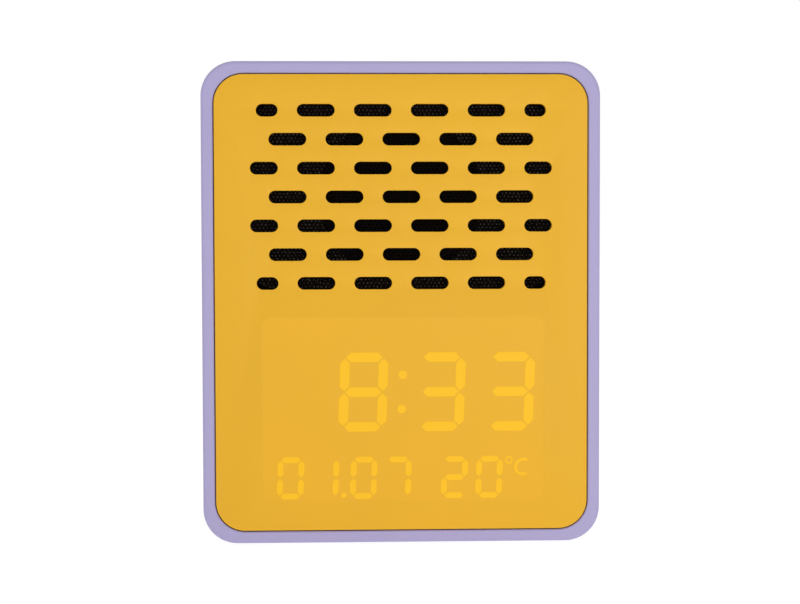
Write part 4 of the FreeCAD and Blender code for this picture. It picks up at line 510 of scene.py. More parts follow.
# %% [markdown]
# The boards, the cell and the wires are seen only when the clock is opened, but they get the same care. A
# circuit board is solder mask over copper tracks. They run in bundles: a Voronoi pattern of square-cut cells
# draws, for each cell, whether it has tracks and which way they run. A Bump lifts them by a few hundredths of
# a millimetre. The cell wears a thin shrunk film with a few soft wrinkles.


# %% Electronic finishes
bundle_size = 9 * MM
track_pitch = 0.9 * MM


def circuit_board(name):
    """Green solder mask over fine tracks that run in bundles, some across and some up and down."""
    mask_green = paint(14, 84, 46)
    tree, shader = new_finish(name, mask_green, 0.32)
    axes = split_place(tree)
    flat = result(tree, "ShaderNodeCombineXYZ", {"X": axes["X"], "Y": axes["Z"]})
    values = {"Vector": flat, "Scale": 1 / bundle_size, "Randomness": 0.8}
    cells = add(tree, "ShaderNodeTexVoronoi", values, distance="MANHATTAN", voronoi_dimensions="2D")
    draws = add(tree, "ShaderNodeSeparateColor", {0: cells.outputs["Color"]}).outputs
    across = math_node(tree, "GREATER_THAN", draws[0], 0.5)
    used = math_node(tree, "GREATER_THAN", draws[1], 0.3)
    along = result(tree, "ShaderNodeMix", {0: across, 2: axes["X"], 3: axes["Z"]})
    steps = math_node(tree, "FRACT", math_node(tree, "DIVIDE", along, track_pitch))
    lines = math_node(tree, "MULTIPLY", math_node(tree, "LESS_THAN", steps, 0.45), used)
    tint(tree, shader, lines, mask_green, paint(28, 112, 62))
    raise_bump(tree, shader, lines, 0.03 * MM)
    shader.inputs["Coat Weight"].default_value = 0.3


def flat_cable(name):
    """Grey ribbon: round cores side by side across X, with painted shade in the grooves between them."""
    grey = paint(190, 190, 194)
    tree, shader = new_finish(name, grey, 0.45)
    axes = split_place(tree)
    turns = math_node(tree, "SINE", math_node(tree, "MULTIPLY", axes["X"], 2 * math.pi / (1.0 * MM)))
    cores = math_node(tree, "ABSOLUTE", turns)
    # Painted shade: the grey darkens to 0.55 of itself in the grooves between the cores.
    tint(tree, shader, cores, shade(grey, 0.55), grey)
    raise_bump(tree, shader, cores, 0.08 * MM)


circuit_board("board_green")
textured("cell_wrap", paint(60, 112, 168), 0.25, clouds, (0.9, 1.1), 0.05, Size=4 * MM)
flat_cable("ribbon_grey")
coated("bead_epoxy", paint(30, 30, 34), 0.25, 0.8)


# %% [markdown]
# Behind the panel sit clear resins: a tinted film, light guides and tiny lamps. They are translucent rather
# than glass-clear, so a little transmission is set on the shader and the rest is a milky colour.


# %% Clear resins
def resin(name, colour, roughness, clear, glow=None):
    """Milky resin. glow is the colour of its own light, if it is lit."""
    tree, shader = new_finish(name, colour, roughness)
    shader.inputs["Transmission Weight"].default_value = clear
    bubbles = place(tree, clouds, Size=1.5 * MM)
    dull(tree, shader, bubbles["Mask"], roughness - 0.05, roughness + 0.1)
    if glow:
        shader.inputs["Emission Color"].default_value = glow
        shader.inputs["Emission Strength"].default_value = 1.0


amber = paint(255, 196, 50)
resin("film_tint", paint(236, 180, 60), 0.4, 0.3)
resin("resin_lit", amber, 0.3, 0.0, amber)
resin("resin_unlit", paint(226, 222, 208), 0.3, 0.3)
resin("light_chip", paint(250, 240, 190), 0.15, 0.2)

# %% [markdown]
# A CAD piece keeps its shape and its place, and gets its finish by name: the record says which slot each
# piece belongs to.

# %% Dress the CAD pieces
slot_of = {row["node"]: row["material_slot"] for row in frame["record"]["subparts"]}
for name, piece in nodes.items():
    piece.data.materials.clear()
    piece.data.materials.append(finishes[slot_of[name]])
print("dressed:", len(nodes), "pieces with", len(set(slot_of.values())), "finishes")

# %% [markdown]
# The front panel follows a rule. Its slots stand in seven staggered rows, four and five by turns, and the
# outer ones are cut short. That suits Geometry Nodes: four grids of points carry the slots' outlines, the
# panel's own outline goes round them, and one fill makes the holes. It could be cut with booleans instead,
# but a filled outline gives cleaner edges for the soft rounding that comes after it.

# %% Sizes of the front panel
panel_front_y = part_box("front_panel")[0].y
panel_corner = 8.0 * MM
panel_edge = 0.3 * MM
slot_length = 10.4 * MM
slot_medium = 7.7 * MM
slot_short = 6.0 * MM
slot_height = 3.5 * MM
slot_pitch = 15.65 * MM
row_pitch = 7.92 * MM
speaker_middle = sum(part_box("speaker_mesh"), Vector()) / 2
inner_end = 2.5 * slot_pitch - slot_length / 2
grid_sizes = ("Slot Length ", "Grid Width ", "Grid Height ", "Columns ", "Rows ")
slot_grids = (
    (slot_length, 3 * slot_pitch, 6 * row_pitch, 4, 4),
    (slot_length, 4 * slot_pitch, 4 * row_pitch, 5, 3),
    (slot_medium, 2 * inner_end + slot_medium, 2 * row_pitch, 2, 2),
    (slot_short, 2 * inner_end + slot_short, 6 * row_pitch, 2, 2),
)
print("front panel:", sum(columns * rows for *_, columns, rows in slot_grids), "slots")


# %% Helpers for geometry trees
def rounded_outline(tree, width, height, corner, count):
    """A closed flat outline with round corners, as a curve."""
    sides = {"Width": width, "Height": height}
    plain = result(tree, "GeometryNodeCurvePrimitiveQuadrilateral", sides)
    values = {"Curve": plain, "Count": count, "Radius": corner}
    return result(tree, "GeometryNodeFilletCurve", values, mode="POLY")


def joined(tree, *parts):
    """Several geometries as one."""
    both = add(tree, "GeometryNodeJoinGeometry")
    for part in parts:
        tree.links.new(part, both.inputs[0])
    return both.outputs[0]


def thickened(tree, face, thickness):
    """Gives a flat face a thickness. The front is up, and every side is closed."""
    values = {"Mesh": face, "Offset Scale": thickness, "Individual": False}
    grown = add(tree, "GeometryNodeExtrudeMesh", values).outputs["Mesh"]
    back = result(tree, "GeometryNodeFlipFaces", {"Mesh": face})
    values = {"Geometry": joined(tree, grown, back), "Distance": weld_distance}
    return result(tree, "GeometryNodeMergeByDistance", values)


def thick_plate(tree, outlines, thickness):
    """A plate inside the outlines; an outline within another is a hole."""
    face = result(tree, "GeometryNodeFillCurve", {"Curve": outlines}, mode="TRIANGLES")
    return thickened(tree, face, thickness)


def kept_mesh(work, name):
    """A mesh as worked out, and the end of that work."""
    mesh = bpy.data.meshes.new(name)
    work.to_mesh(mesh)
    work.free()
    return mesh


def sized_group(name, sizes):
    """A geometry tree whose sizes and material are its inputs."""
    sockets = [(size, "NodeSocketFloat", 0.0) for size in sizes]
    sockets.append(("Material", "NodeSocketMaterial", None))
    return new_group(name, "GeometryNodeTree", sockets, [("Geometry", "NodeSocketGeometry")])


def end_tree(tree, given, put, flat):
    """Every tree ends alike. What lies flat is stood up, with its top to the front and its back at Back Y."""
    spot = result(tree, "ShaderNodeCombineXYZ", {"Y": given["Back Y"], "Z": given["Middle Z"]})
    values = {"Geometry": flat, "Rotation": (math.pi / 2, 0, 0), "Translation": spot}
    upright = result(tree, "GeometryNodeTransform", values)
    real = result(tree, "GeometryNodeRealizeInstances", {0: upright})
    made = result(tree, "GeometryNodeSetMaterial", {"Geometry": real, "Material": given["Material"]})
    tree.links.new(made, put[0])


def plate_values(name):
    """What a tree needs to know of the CAD plate it replaces."""
    low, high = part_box(name)
    size, middle = high - low, (low + high) / 2
    values = {"Width": size.x, "Height": size.z, "Thickness": size.y}
    return {**values, "Middle Z": middle.z, "Back Y": high.y}


def grown_piece(name, tree, values, slot, body="case"):
    """Runs a tree on an empty mesh and keeps the result as a plain mesh in the clock's own frame."""
    seed = in_scene(name + "_seed", bpy.data.meshes.new(name + "_seed"))
    modifier = seed.modifiers.new("grow", "NODES")
    modifier.node_group = tree
    sockets = {item.name: item.identifier for item in tree.interface.items_tree if item.in_out == "INPUT"}
    for label, value in {**values, "Material": finishes[slot]}.items():
        modifier[sockets[label]] = value
    graph = bpy.context.evaluated_depsgraph_get()
    mesh = bpy.data.meshes.new_from_object(seed.evaluated_get(graph))
    mesh.name = name
    bpy.data.objects.remove(seed)
    return new_piece(name, mesh, slot, body)


def new_piece(name, mesh, slot, body="case", finish=None):
    """A mesh as a piece of the clock that rides on a body, in the finish of its slot or in one of its own."""
    piece = in_scene(name, mesh)
    mesh.materials.clear()
    mesh.materials.append(finishes[finish or slot])
    if body:
        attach(piece, body)
    return piece


def smooth_piece(piece, degrees=35.0):
    """Smooth shading, with sharp edges where two faces meet at more than that angle."""
    piece.data.shade_smooth()
    piece.data.set_sharp_from_angle(angle=math.radians(degrees))


def apply_modifiers(piece):
    """Replaces a piece's mesh with what its modifiers make of it."""
    graph = bpy.context.evaluated_depsgraph_get()
    mesh = bpy.data.meshes.new_from_object(piece.evaluated_get(graph))
    piece.modifiers.clear()
    piece.data = mesh


# %% Grow the front panel
def slotted_panel_tree():
    """A plate with staggered slots. Its sizes are inputs, and its slots come from grids of points."""
    sizes = ["Width", "Height", "Corner", "Thickness", "Slot Height", "Middle Z", "Back Y", "Grille Drop"]
    sizes += [label + str(grid) for grid in range(len(slot_grids)) for label in grid_sizes]
    tree, given, put = sized_group("slotted panel", sizes)
    corner_points = 16
    end_points = 10
    just_under_half = 0.4999
    curves = []
    round_end = math_node(tree, "MULTIPLY", given["Slot Height"], just_under_half)
    rise = result(tree, "ShaderNodeCombineXYZ", {"Y": given["Grille Drop"]})
    for grid in range(len(slot_grids)):
        length, across, tall, columns, rows = (given[label + str(grid)] for label in grid_sizes)
        values = {"Size X": across, "Size Y": tall, "Vertices X": columns, "Vertices Y": rows}
        points = result(tree, "GeometryNodeMeshGrid", values)
        moved = result(tree, "GeometryNodeTransform", {"Geometry": points, "Translation": rise})
        slot = rounded_outline(tree, length, given["Slot Height"], round_end, end_points)
        spread = result(tree, "GeometryNodeInstanceOnPoints", {"Points": moved, "Instance": slot})
        curves.append(result(tree, "GeometryNodeRealizeInstances", {0: spread}))
    curves.append(rounded_outline(tree, given["Width"], given["Height"], given["Corner"], corner_points))
    plate = thick_plate(tree, joined(tree, *curves), given["Thickness"])
    end_tree(tree, given, put, plate)
    return tree


def make_front_panel():
    """The panel in one piece, its edges rounded after it is grown."""
    values = {**plate_values("front_panel"), "Corner": panel_corner, "Slot Height": slot_height}
    values["Grille Drop"] = speaker_middle.z - values["Middle Z"]
    for grid, numbers in enumerate(slot_grids):
        values.update({label + str(grid): float(number) for label, number in zip(grid_sizes, numbers)})
    panel = grown_piece("slotted_panel", slotted_panel_tree(), values, "panel_plastic")
    bevel = panel.modifiers.new("edge", "BEVEL")
    bevel.width = panel_edge
    bevel.segments = 3
    bevel.limit_method = "ANGLE"
    bevel.angle_limit = math.radians(50)
    apply_modifiers(panel)
    smooth_piece(panel)
    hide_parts("front_panel")
    print("front panel grown:", len(panel.data.polygons), "faces")


make_front_panel()

# %% [markdown]
# Behind the slots lies a black sheet with thousands of small holes, a millimetre apart. From a step away only
# a fine dotted shimmer is left of it. The real one is punched from steel. A bump map would look painted on,
# so each hole is real: one six-sided cell with a hole in it, set on a honeycomb of points by Geometry Nodes.
# Neighbours share their edges, so the cells weld into one sheet.

# %% Sizes of the punched sheet
hole_pitch = 1.1 * MM
hole_share = 0.56
sheet_corner = 8.0 * MM
sheet_border = 1.7 * MM
border_cover = 0.7


def hole_cell_mesh():
    """One flat cell: a six-sided tile of the sheet with a six-sided hole."""
    cell = bmesh.new()
    rings = []
    for radius in (hole_pitch / math.sqrt(3), hole_pitch / 2 * hole_share):
        angles = [math.radians(60 * step + 30) for step in range(6)]
        rings.append([cell.verts.new((radius * math.cos(a), radius * math.sin(a), 0)) for a in angles])
    outer, inner = rings
    for step in range(6):
        after = (step + 1) % 6
        cell.faces.new((outer[step], outer[after], inner[after], inner[step]))
    return kept_mesh(cell, "hole_cell")


# %% Grow the punched sheet
def punched_sheet_tree(cell):
    """A honeycomb of cells inside a rounded border."""
    sizes = ("Width", "Height", "Corner", "Border", "Thickness", "Pitch", "Middle Z", "Back Y")
    tree, given, put = sized_group("punched sheet", sizes)
    row_step = math_node(tree, "MULTIPLY", given["Pitch"], math.sqrt(3) / 2)
    columns, rows = (
        math_node(tree, "CEIL", math_node(tree, "DIVIDE", size, step))
        for size, step in ((given["Width"], given["Pitch"]), (given["Height"], row_step))
    )
    span_x, span_y = (
        math_node(tree, "MULTIPLY", math_node(tree, "SUBTRACT", count, 1.0), step)
        for count, step in ((columns, given["Pitch"]), (rows, row_step))
    )
    values = {"Size X": span_x, "Size Y": span_y, "Vertices X": columns, "Vertices Y": rows}
    points = result(tree, "GeometryNodeMeshGrid", values)

    row_number = math_node(tree, "MODULO", result(tree, "GeometryNodeInputIndex"), rows)
    odd = math_node(tree, "MODULO", row_number, 2.0)
    half_step = math_node(tree, "MULTIPLY", odd, math_node(tree, "MULTIPLY", given["Pitch"], 0.5))
    offset = result(tree, "ShaderNodeCombineXYZ", {"X": half_step})
    comb = result(tree, "GeometryNodeSetPosition", {"Geometry": points, "Offset": offset})

    place_of = result(tree, "GeometryNodeInputPosition")
    axes = add(tree, "ShaderNodeSeparateXYZ", {0: place_of}).outputs
    squares = []
    for axis, size in (("X", "Width"), ("Y", "Height")):
        half = math_node(tree, "MULTIPLY", given[size], 0.5)
        straight = math_node(tree, "SUBTRACT", half, given["Corner"])
        beyond = math_node(tree, "SUBTRACT", math_node(tree, "ABSOLUTE", axes[axis]), straight)
        past = math_node(tree, "MAXIMUM", beyond, 0.0)
        squares.append(math_node(tree, "MULTIPLY", past, past))
    far = math_node(tree, "SQRT", math_node(tree, "ADD", *squares))
    covered = math_node(tree, "MULTIPLY", given["Border"], border_cover)
    limit = math_node(tree, "SUBTRACT", given["Corner"], covered)
    outside = math_node(tree, "GREATER_THAN", far, limit)
    kept = result(tree, "GeometryNodeDeleteGeometry", {"Geometry": comb, "Selection": outside})

    tile = add(tree, "GeometryNodeObjectInfo", {"Object": cell}).outputs["Geometry"]
    tiles = result(tree, "GeometryNodeInstanceOnPoints", {"Points": kept, "Instance": tile})
    real = result(tree, "GeometryNodeRealizeInstances", {0: tiles})
    values = {"Geometry": real, "Distance": 10 * weld_distance}
    flat = result(tree, "GeometryNodeMergeByDistance", values)
    punched = thickened(tree, flat, given["Thickness"])

    corner_points = 12
    outer = (given["Width"], given["Height"], given["Corner"])
    twice = math_node(tree, "MULTIPLY", given["Border"], 2.0)
    inner = [math_node(tree, "SUBTRACT", size, twice) for size in outer[:2]]
    inner.append(math_node(tree, "SUBTRACT", given["Corner"], given["Border"]))
    curves = [rounded_outline(tree, *sizes, corner_points) for sizes in (outer, inner)]
    border = thick_plate(tree, joined(tree, *curves), given["Thickness"])
    end_tree(tree, given, put, joined(tree, punched, border))
    return tree


def make_punched_sheet():
    """The sheet in place of the plain CAD one."""
    cell = in_scene("hole_cell", hole_cell_mesh())
    values = {**plate_values("speaker_mesh"), "Corner": sheet_corner, "Border": sheet_border}
    values["Pitch"] = hole_pitch
    sheet = grown_piece("punched_sheet", punched_sheet_tree(cell), values, "mesh_black")
    bpy.data.objects.remove(cell)
    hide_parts("speaker_mesh")
    print("punched sheet:", len(sheet.data.polygons), "faces")


make_punched_sheet()

# %% [markdown]
# The voice coil is one wire, wound round the foil in a single layer, turn beside turn. CAD holds it as a
# plain ring. A spiral curve with a round profile is the wire itself. Its length and radius come from that
# ring.

# %% Wind the voice coil
coil_low, coil_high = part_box("voice_coil")
former_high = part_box("coil_former")[1]


def wound_coil_tree():
    """A wire in a spiral along Y, as long as it is told, with a round section."""
    sizes = ("Radius", "Wire", "Length", "Turns", "Back Y", "Middle Z")
    tree, given, put = sized_group("wound coil", sizes)
    values = {"Rotations": given["Turns"], "Height": given["Length"], "Resolution": 40}
    values.update({"Start Radius": given["Radius"], "End Radius": given["Radius"]})
    path = result(tree, "GeometryNodeCurveSpiral", values)
    values = {"Resolution": 6, "Radius": given["Wire"]}
    section = result(tree, "GeometryNodeCurvePrimitiveCircle", values)
    values = {"Curve": path, "Profile Curve": section, "Fill Caps": True}
    wire = result(tree, "GeometryNodeCurveToMesh", values)
    end_tree(tree, given, put, wire)
    return tree


def make_voice_coil():
    """The coil in place of its plain ring."""
    outer = (coil_high.x - coil_low.x) / 2
    wire = (outer - (former_high.x - (coil_high.x + coil_low.x) / 2)) / 2
    length = coil_high.y - coil_low.y - 2 * wire
    turns = math.floor(length / (2 * wire))
    values = {"Radius": outer - wire, "Wire": wire, "Length": length, "Turns": float(turns)}
    values.update({"Back Y": coil_high.y - wire, "Middle Z": (coil_low.z + coil_high.z) / 2})
    coil = grown_piece("wound_coil", wound_coil_tree(), values, "copper_wire", "cone")
    coil.data.shade_smooth()
    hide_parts("voice_coil")
    print("voice coil:", turns, "turns of wire", round(2 * wire / MM, 2), "mm thick")


make_voice_coil()

# %% [markdown]
# Two soft rings hold the cone: the surround at its rim and the spider at its neck. Their inner edges move
# with the cone, and their outer edges stay with the basket. Each ring is cut into wedges, each round its own
# spoke, and every cut is closed.

# %% Cut the soft rings into wedges
wedge_count = 20


def cut_wedge(name, middle, turn):
    """A closed wedge of a CAD ring, round the spoke at that turn."""
    work = bmesh.new()
    work.from_mesh(nodes[name].data)
    work.transform(nodes[name].matrix_world)
    bmesh.ops.remove_doubles(work, verts=work.verts, dist=weld_distance)
    for side in (-1, 1):
        facing = turn + side * (math.pi / wedge_count + math.pi / 2)
        normal = (math.cos(facing), 0, math.sin(facing))
        everything = [*work.verts, *work.edges, *work.faces]
        plane = {"plane_co": middle, "plane_no": normal, "dist": weld_distance / 100}
        cut = bmesh.ops.bisect_plane(work, geom=everything, clear_outer=True, **plane)
        rim = [item for item in cut["geom_cut"] if isinstance(item, bmesh.types.BMEdge)]
        bmesh.ops.holes_fill(work, edges=rim)
    open_edges = sum(edge.is_boundary for edge in work.edges)
    return kept_mesh(work, name + "_wedge"), open_edges


def bend_ring(name, slot):
    """A CAD ring as closed wedges, one round each spoke, in place of the ring."""
    middle = sum(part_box(name), Vector()) / 2
    left_open = 0
    for number in range(wedge_count):
        turn = 2 * math.pi * number / wedge_count
        mesh, open_edges = cut_wedge(name, middle, turn)
        left_open += open_edges
        wedge = new_piece(f"{name}_wedge_{number + 1:02}", mesh, slot, None)
        smooth_piece(wedge)
        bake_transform(wedge)
        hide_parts(name)
    print(name, "cut into", wedge_count, "wedges with", left_open, "open edges")


bend_ring("driver_spider", "spider_cloth")
bend_ring("driver_surround", "surround_rubber")

# %% [markdown]
# Two small things repeat on the electronics: contact pads on the socket's tongue, and the legs of the chips.
# Each is a row of little metal blocks on a carrier that CAD gives. The places come from the carrier's own
# box, and a copy of its mesh tells how many separate blocks there are.


# %% Helpers for small blocks
def solid_boxes(name):
    """The lowest and highest corners of each separate block of a CAD piece."""
    copy = bmesh.new()
    copy.from_mesh(nodes[name].data)
    bmesh.ops.remove_doubles(copy, verts=copy.verts, dist=10 * weld_distance)
    seen = set()
    boxes = []
    for first in copy.verts:
        if first in seen:
            continue
        seen.add(first)
        group = [first]
        for vert in group:
            for link in vert.link_edges:
                other = link.other_vert(vert)
                if other not in seen:
                    seen.add(other)
                    group.append(other)
        spots = [vert.co for vert in group]
        boxes.append([Vector(pick(spot[k] for spot in spots) for k in range(3)) for pick in (min, max)])
    copy.free()
    return boxes


def spaced(low, high, count, pitch):
    """Evenly spaced places in the middle between two limits."""
    return [(low + high) / 2 + (i - (count - 1) / 2) * pitch for i in range(count)]


def add_block(mesh, low, high, edge):
    """A small block with softened edges, from one corner to the other."""
    size, middle = high - low, (high + low) / 2
    made = bmesh.ops.create_cube(mesh, size=1.0)["verts"]
    bmesh.ops.scale(mesh, vec=size, verts=made)
    bmesh.ops.translate(mesh, vec=middle, verts=made)
    edges = list(dict.fromkeys(link for vert in made for link in vert.link_edges))
    bmesh.ops.bevel(mesh, geom=edges, offset=edge, segments=1, affect="EDGES")


def blocks_piece(name, blocks, slot, edge):
    """Many small blocks as one piece."""
    work = bmesh.new()
    for low, high in blocks:
        add_block(work, low, high, edge)
    print(name, "made of", len(blocks), "blocks")
    new_piece(name, kept_mesh(work, name), slot)


# %% Contact pads and chip legs
pad_pitch = 0.5 * MM
pad_width = 0.28 * MM
pad_count = 12
pad_proud = 0.03 * MM
pad_setback = 0.4 * MM
pad_length = 2.8 * MM
leg_pitch = 1.27 * MM
leg_width = 0.42 * MM
leg_reach = 0.9 * MM
leg_thick = 0.16 * MM


def tongue_pads():
    """Pads on the upper and lower face of the socket's tongue."""
    low, high = min(solid_boxes("socket_tongue"), key=lambda box: box[1].z - box[0].z)
    back_y = high.y - pad_setback
    front_y = back_y - pad_length
    pads = []
    for face, way in ((low.z, -1), (high.z, 1)):
        heights = sorted((face + way * pad_proud, face - way * pad_proud))
        for x in spaced(low.x, high.x, pad_count, pad_pitch):
            low_corner = Vector((x - pad_width / 2, front_y, heights[0]))
            pads.append((low_corner, Vector((x + pad_width / 2, back_y, heights[1]))))
    return pads


def chip_legs():
    """Legs along the two longer sides of each chip: a foot flat on the board, and a riser beside the chip."""
    legs = []
    for low, high in solid_boxes("chips"):
        along, across = (0, 2) if high.x - low.x >= high.z - low.z else (2, 0)
        count = max(2, int((high[along] - low[along]) / leg_pitch))
        foot_y, riser_y = high.y - leg_thick, (low.y + high.y) / 2
        for face, way in ((low[across], -1), (high[across], 1)):
            for middle in spaced(low[along], high[along], count, leg_pitch):
                for reach, front_y in ((leg_reach, foot_y), (leg_thick, riser_y)):
                    start, end = Vector((0, front_y, 0)), Vector((0, high.y, 0))
                    start[along], end[along] = middle - leg_width / 2, middle + leg_width / 2
                    start[across], end[across] = sorted((face, face + way * reach))
                    legs.append((start, end))
    return legs


blocks_piece("contact_pads", tongue_pads(), "contact_steel", pad_proud / 3)
blocks_piece("chip_legs", chip_legs(), "contact_steel", leg_thick / 5)

# %% [markdown]
# The display has no window of its own. Bars of light stand behind the mustard plastic and shine through it,
# so each bar shows as a warm patch with a soft edge. We could model the light in depth, but a thin patch on
# the panel's face gives the same picture and renders cleanly. Each patch holds a value that falls from 1
# inside to 0 at its rim, and the shader turns that value into light.

# %% Sizes of the display
display_middle = sum(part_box("display_film"), Vector()) / 2
window_width = 78.5 * MM
window_height = 51.5 * MM
window_round = 3.0 * MM
colon_spread = 9.5 * MM
colon_radius = 1.23 * MM
point_radius = 0.8 * MM
degree_radius = 1.14 * MM
degree_stroke = 0.55 * MM
figure_lean = 0.036
bar_gap = 0.28 * MM
bar_spill = 0.16 * MM
bar_round_share = 0.12
bar_shares = {
    "a": ((-1, 1), (1, 1)),
    "b": ((1, 0), (1, 1)),
    "c": ((1, -1), (1, 0)),
    "d": ((-1, -1), (1, -1)),
    "e": ((-1, -1), (-1, 0)),
    "f": ((-1, 0), (-1, 1)),
    "g": ((-1, 0), (1, 0)),
}
time_figures = {
    "width": 13.4 * MM,
    "height": 22.0 * MM,
    "stroke": 2.75 * MM,
    "rise": 4.9 * MM,
    "places": ((-0.1427, "abcdefg"), (0.1306, "abgcd"), (0.3758, "abgcd")),
}
date_figures = {
    "width": 7.4 * MM,
    "height": 11.75 * MM,
    "stroke": 1.65 * MM,
    "rise": -18.9 * MM,
    "places": (
        (-0.4, "abcdef"),
        (-0.277, "bc"),
        (-0.1425, "abcdef"),
        (-0.0215, "abc"),
        (0.1785, "abged"),
        (0.301, "abcdef"),
    ),
}


# %% Light on the panel
def lit_plastic(name, colour, roughness, light):
    """The panel's own plastic with light behind it, as strong as the patch's value says."""
    moulded(name, colour, roughness, 0.3, 0.005)
    tree = finishes[name].node_tree
    shader = tree.nodes["Principled BSDF"]
    value = add(tree, "ShaderNodeAttribute", attribute_name="glow").outputs["Fac"]
    mixed = add(tree, "ShaderNodeMix", {0: value, 6: (0, 0, 0, 1), 7: light}, data_type="RGBA")
    tree.links.new(mixed.outputs[2], shader.inputs["Emission Color"])
    shader.inputs["Emission Strength"].default_value = 1.0


def with_neighbours(points):
    """Each point of an outline, between the one before it and the one after it."""
    return zip(points[-1:] + points[:-1], points, points[1:] + points[:1])


def soft_patch(patch, layer, outline, soft, front, back):
    """A thin plate on the panel. outline is a list of (x, z) to the left round it; soft is its rim's width.

    Its value is 1 in the middle and falls to 0 over the rim.
    """
    inner = []
    for before, here, after in with_neighbours(outline):
        first, second = (here - before).normalized(), (after - here).normalized()
        normal = Vector((-first.y - second.y, first.x + second.x)).normalized()
        inner.append(here + normal * (soft / max(0.4, normal.dot(Vector((-first.y, first.x))))))
    rows = []
    for points, y, glow in ((inner, front, 1.0), (outline, front, 0.0), (outline, back, 0.0)):
        row = [patch.verts.new((p[0], y, p[1])) for p in points]
        for vert in row:
            vert[layer] = glow
        rows.append(row)
    patch.faces.new(rows[0])
    patch.faces.new(list(reversed(rows[2])))
    for upper, lower in zip(rows, rows[1:]):
        for i in range(len(outline)):
            after = (i + 1) % len(outline)
            patch.faces.new((upper[i], lower[i], lower[after], upper[after]))


def rounded_points(corners, radius, steps=3):
    """Rounds the corners of an outline, each with a short curve."""
    points = []
    for before, here, after in with_neighbours([Vector(corner) for corner in corners]):
        reach = min(radius, (here - before).length / 2.2, (after - here).length / 2.2)
        start = here + (before - here).normalized() * reach
        end = here + (after - here).normalized() * reach
        for step in range(steps + 1):
            u = step / steps
            points.append(start * (1 - u) ** 2 + here * (2 * u * (1 - u)) + end * u * u)
    return points


def leaned(x, z, points):
    """An outline moved to its place, leaning as the figures do."""
    return [Vector((x + p.x + figure_lean * p.y, z + p.y)) for p in points]


def bar_outline(x, z, figures, bar):
    """The long hexagon of one bar, leaning with its figure. Its soft rim runs out a little past the bar."""
    reach = Vector((figures["width"] - figures["stroke"], figures["height"] - figures["stroke"])) / 2
    begin, end = (Vector((sx * reach.x, sz * reach.y)) for sx, sz in bar_shares[bar])
    along = (end - begin).normalized()
    aside = Vector((-along.y, along.x))
    gap = (bar_gap - bar_spill) / math.sqrt(2)
    half = figures["stroke"] / 2 + bar_spill / 2
    corners = [
        begin + along * gap,
        begin + along * (gap + half) - aside * half,
        end - along * (gap + half) - aside * half,
        end - along * gap,
        end - along * (gap + half) + aside * half,
        begin + along * (gap + half) + aside * half,
    ]
    return leaned(x, z, rounded_points(corners, figures["stroke"] * bar_round_share))


def arc(x, z, radius, start, end, steps):
    """Points on a circle, from one angle to another in degrees."""
    angles = [math.radians(start + (end - start) * i / steps) for i in range(steps + 1)]
    return [Vector((x + radius * math.cos(a), z + radius * math.sin(a))) for a in angles]


def disc_outline(x, z, radius, sides=24):
    """A round light."""
    return arc(x, z, radius, 0, 360, sides)[:-1]


# %% Make the lit patches
patch_proud = 0.03 * MM
patch_sink = 0.05 * MM
time_soft = 0.24 * MM
date_soft = 0.7 * time_soft
sign_soft = 0.5 * time_soft
window_soft = 0.8 * MM


def patch_piece(name, outlines, finish, proud, soft):
    """All patches of one kind as one piece on the panel's face."""
    patch = bmesh.new()
    layer = patch.verts.layers.float.new("glow")
    for outline in outlines:
        soft_patch(patch, layer, outline, soft, panel_front_y - proud, panel_front_y + patch_sink)
    bmesh.ops.recalc_face_normals(patch, faces=patch.faces)
    new_piece(name, kept_mesh(patch, name), "panel_plastic", finish=finish)
    print(name, "made of", len(outlines), "patches")


def figure_outlines(figures):
    """Every lit bar of a row of figures."""
    outlines = []
    z = display_middle.z + figures["rise"]
    for share, bars in figures["places"]:
        x = display_middle.x + share * window_width
        outlines += [bar_outline(x, z, figures, bar) for bar in bars]
    return outlines


def ring_strip(x, z, radius, stroke, start, end, steps):
    """Part of a ring as a closed outline."""
    return arc(x, z, radius, start, end, steps) + arc(x, z, radius - stroke, end, start, steps)


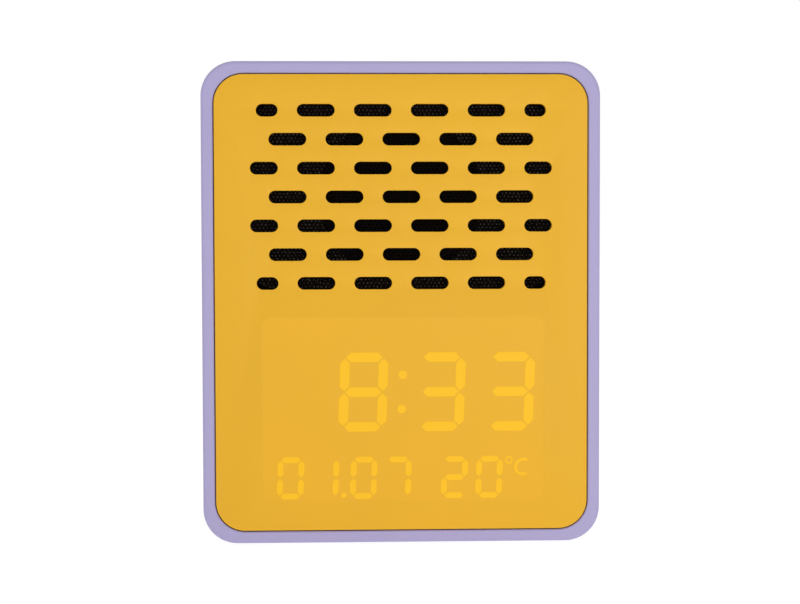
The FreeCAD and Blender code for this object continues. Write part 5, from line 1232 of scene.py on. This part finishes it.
def letter_outline(x, z):
    """The unit's letter: a half ring with two straight arms."""
    half, width, stroke = 2.45 * MM, 3.7 * MM, 0.85 * MM
    bend, tip = half - width / 2, width / 2
    outer = arc(bend, 0, half, 90, 270, 12)
    inner = arc(bend, 0, half - stroke, 270, 90, 12)
    points = [Vector((tip, half))] + outer + [Vector((tip, -half)), Vector((tip, stroke - half))]
    return leaned(x, z, points + inner + [Vector((tip, half - stroke))])


def sign_outlines():
    """The colon, the date's point, the degree ring in two halves, and the unit's letter."""
    x, z = display_middle.x, display_middle.z
    lean = figure_lean * colon_spread / 2
    colon_x, colon_z = x - 0.44 * MM, z + time_figures["rise"]
    outlines = [
        disc_outline(colon_x + lean, colon_z + colon_spread / 2, colon_radius),
        disc_outline(colon_x - lean, colon_z - colon_spread / 2, colon_radius),
        disc_outline(x - 16.7 * MM, z - 23.7 * MM, point_radius, 16),
    ]
    degree_x, degree_z = x + 29.2 * MM, z - 14.2 * MM
    for start in (0, 180):
        outlines.append(ring_strip(degree_x, degree_z, degree_radius, degree_stroke, start, start + 180, 12))
    outlines.append(letter_outline(x + 32.4 * MM, z - 16.1 * MM))
    return outlines


def window_outline():
    """The faint edge of the display behind the plastic."""
    left, right = display_middle.x - window_width / 2, display_middle.x + window_width / 2
    low, high = display_middle.z - window_height / 2, display_middle.z + window_height / 2
    return rounded_points([(left, low), (right, low), (right, high), (left, high)], window_round, 8)


bar_light = (0.165, 0.105, 0.0, 1)
window_light = (0.03, 0.008, 0.0, 1)
lit_plastic("lit_panel", glowing, 0.46, bar_light)
lit_plastic("window_panel", mustard, 0.46, window_light)
patch_piece("display_window", [window_outline()], "window_panel", patch_proud / 2, window_soft)
patch_piece("time_light", figure_outlines(time_figures), "lit_panel", patch_proud, time_soft)
patch_piece("date_light", figure_outlines(date_figures), "lit_panel", patch_proud, date_soft)
patch_piece("sign_light", sign_outlines(), "lit_panel", patch_proud, sign_soft)

# %% [markdown]
# The last step brings the scene up to date.

# %% Finish
bpy.context.view_layer.update()
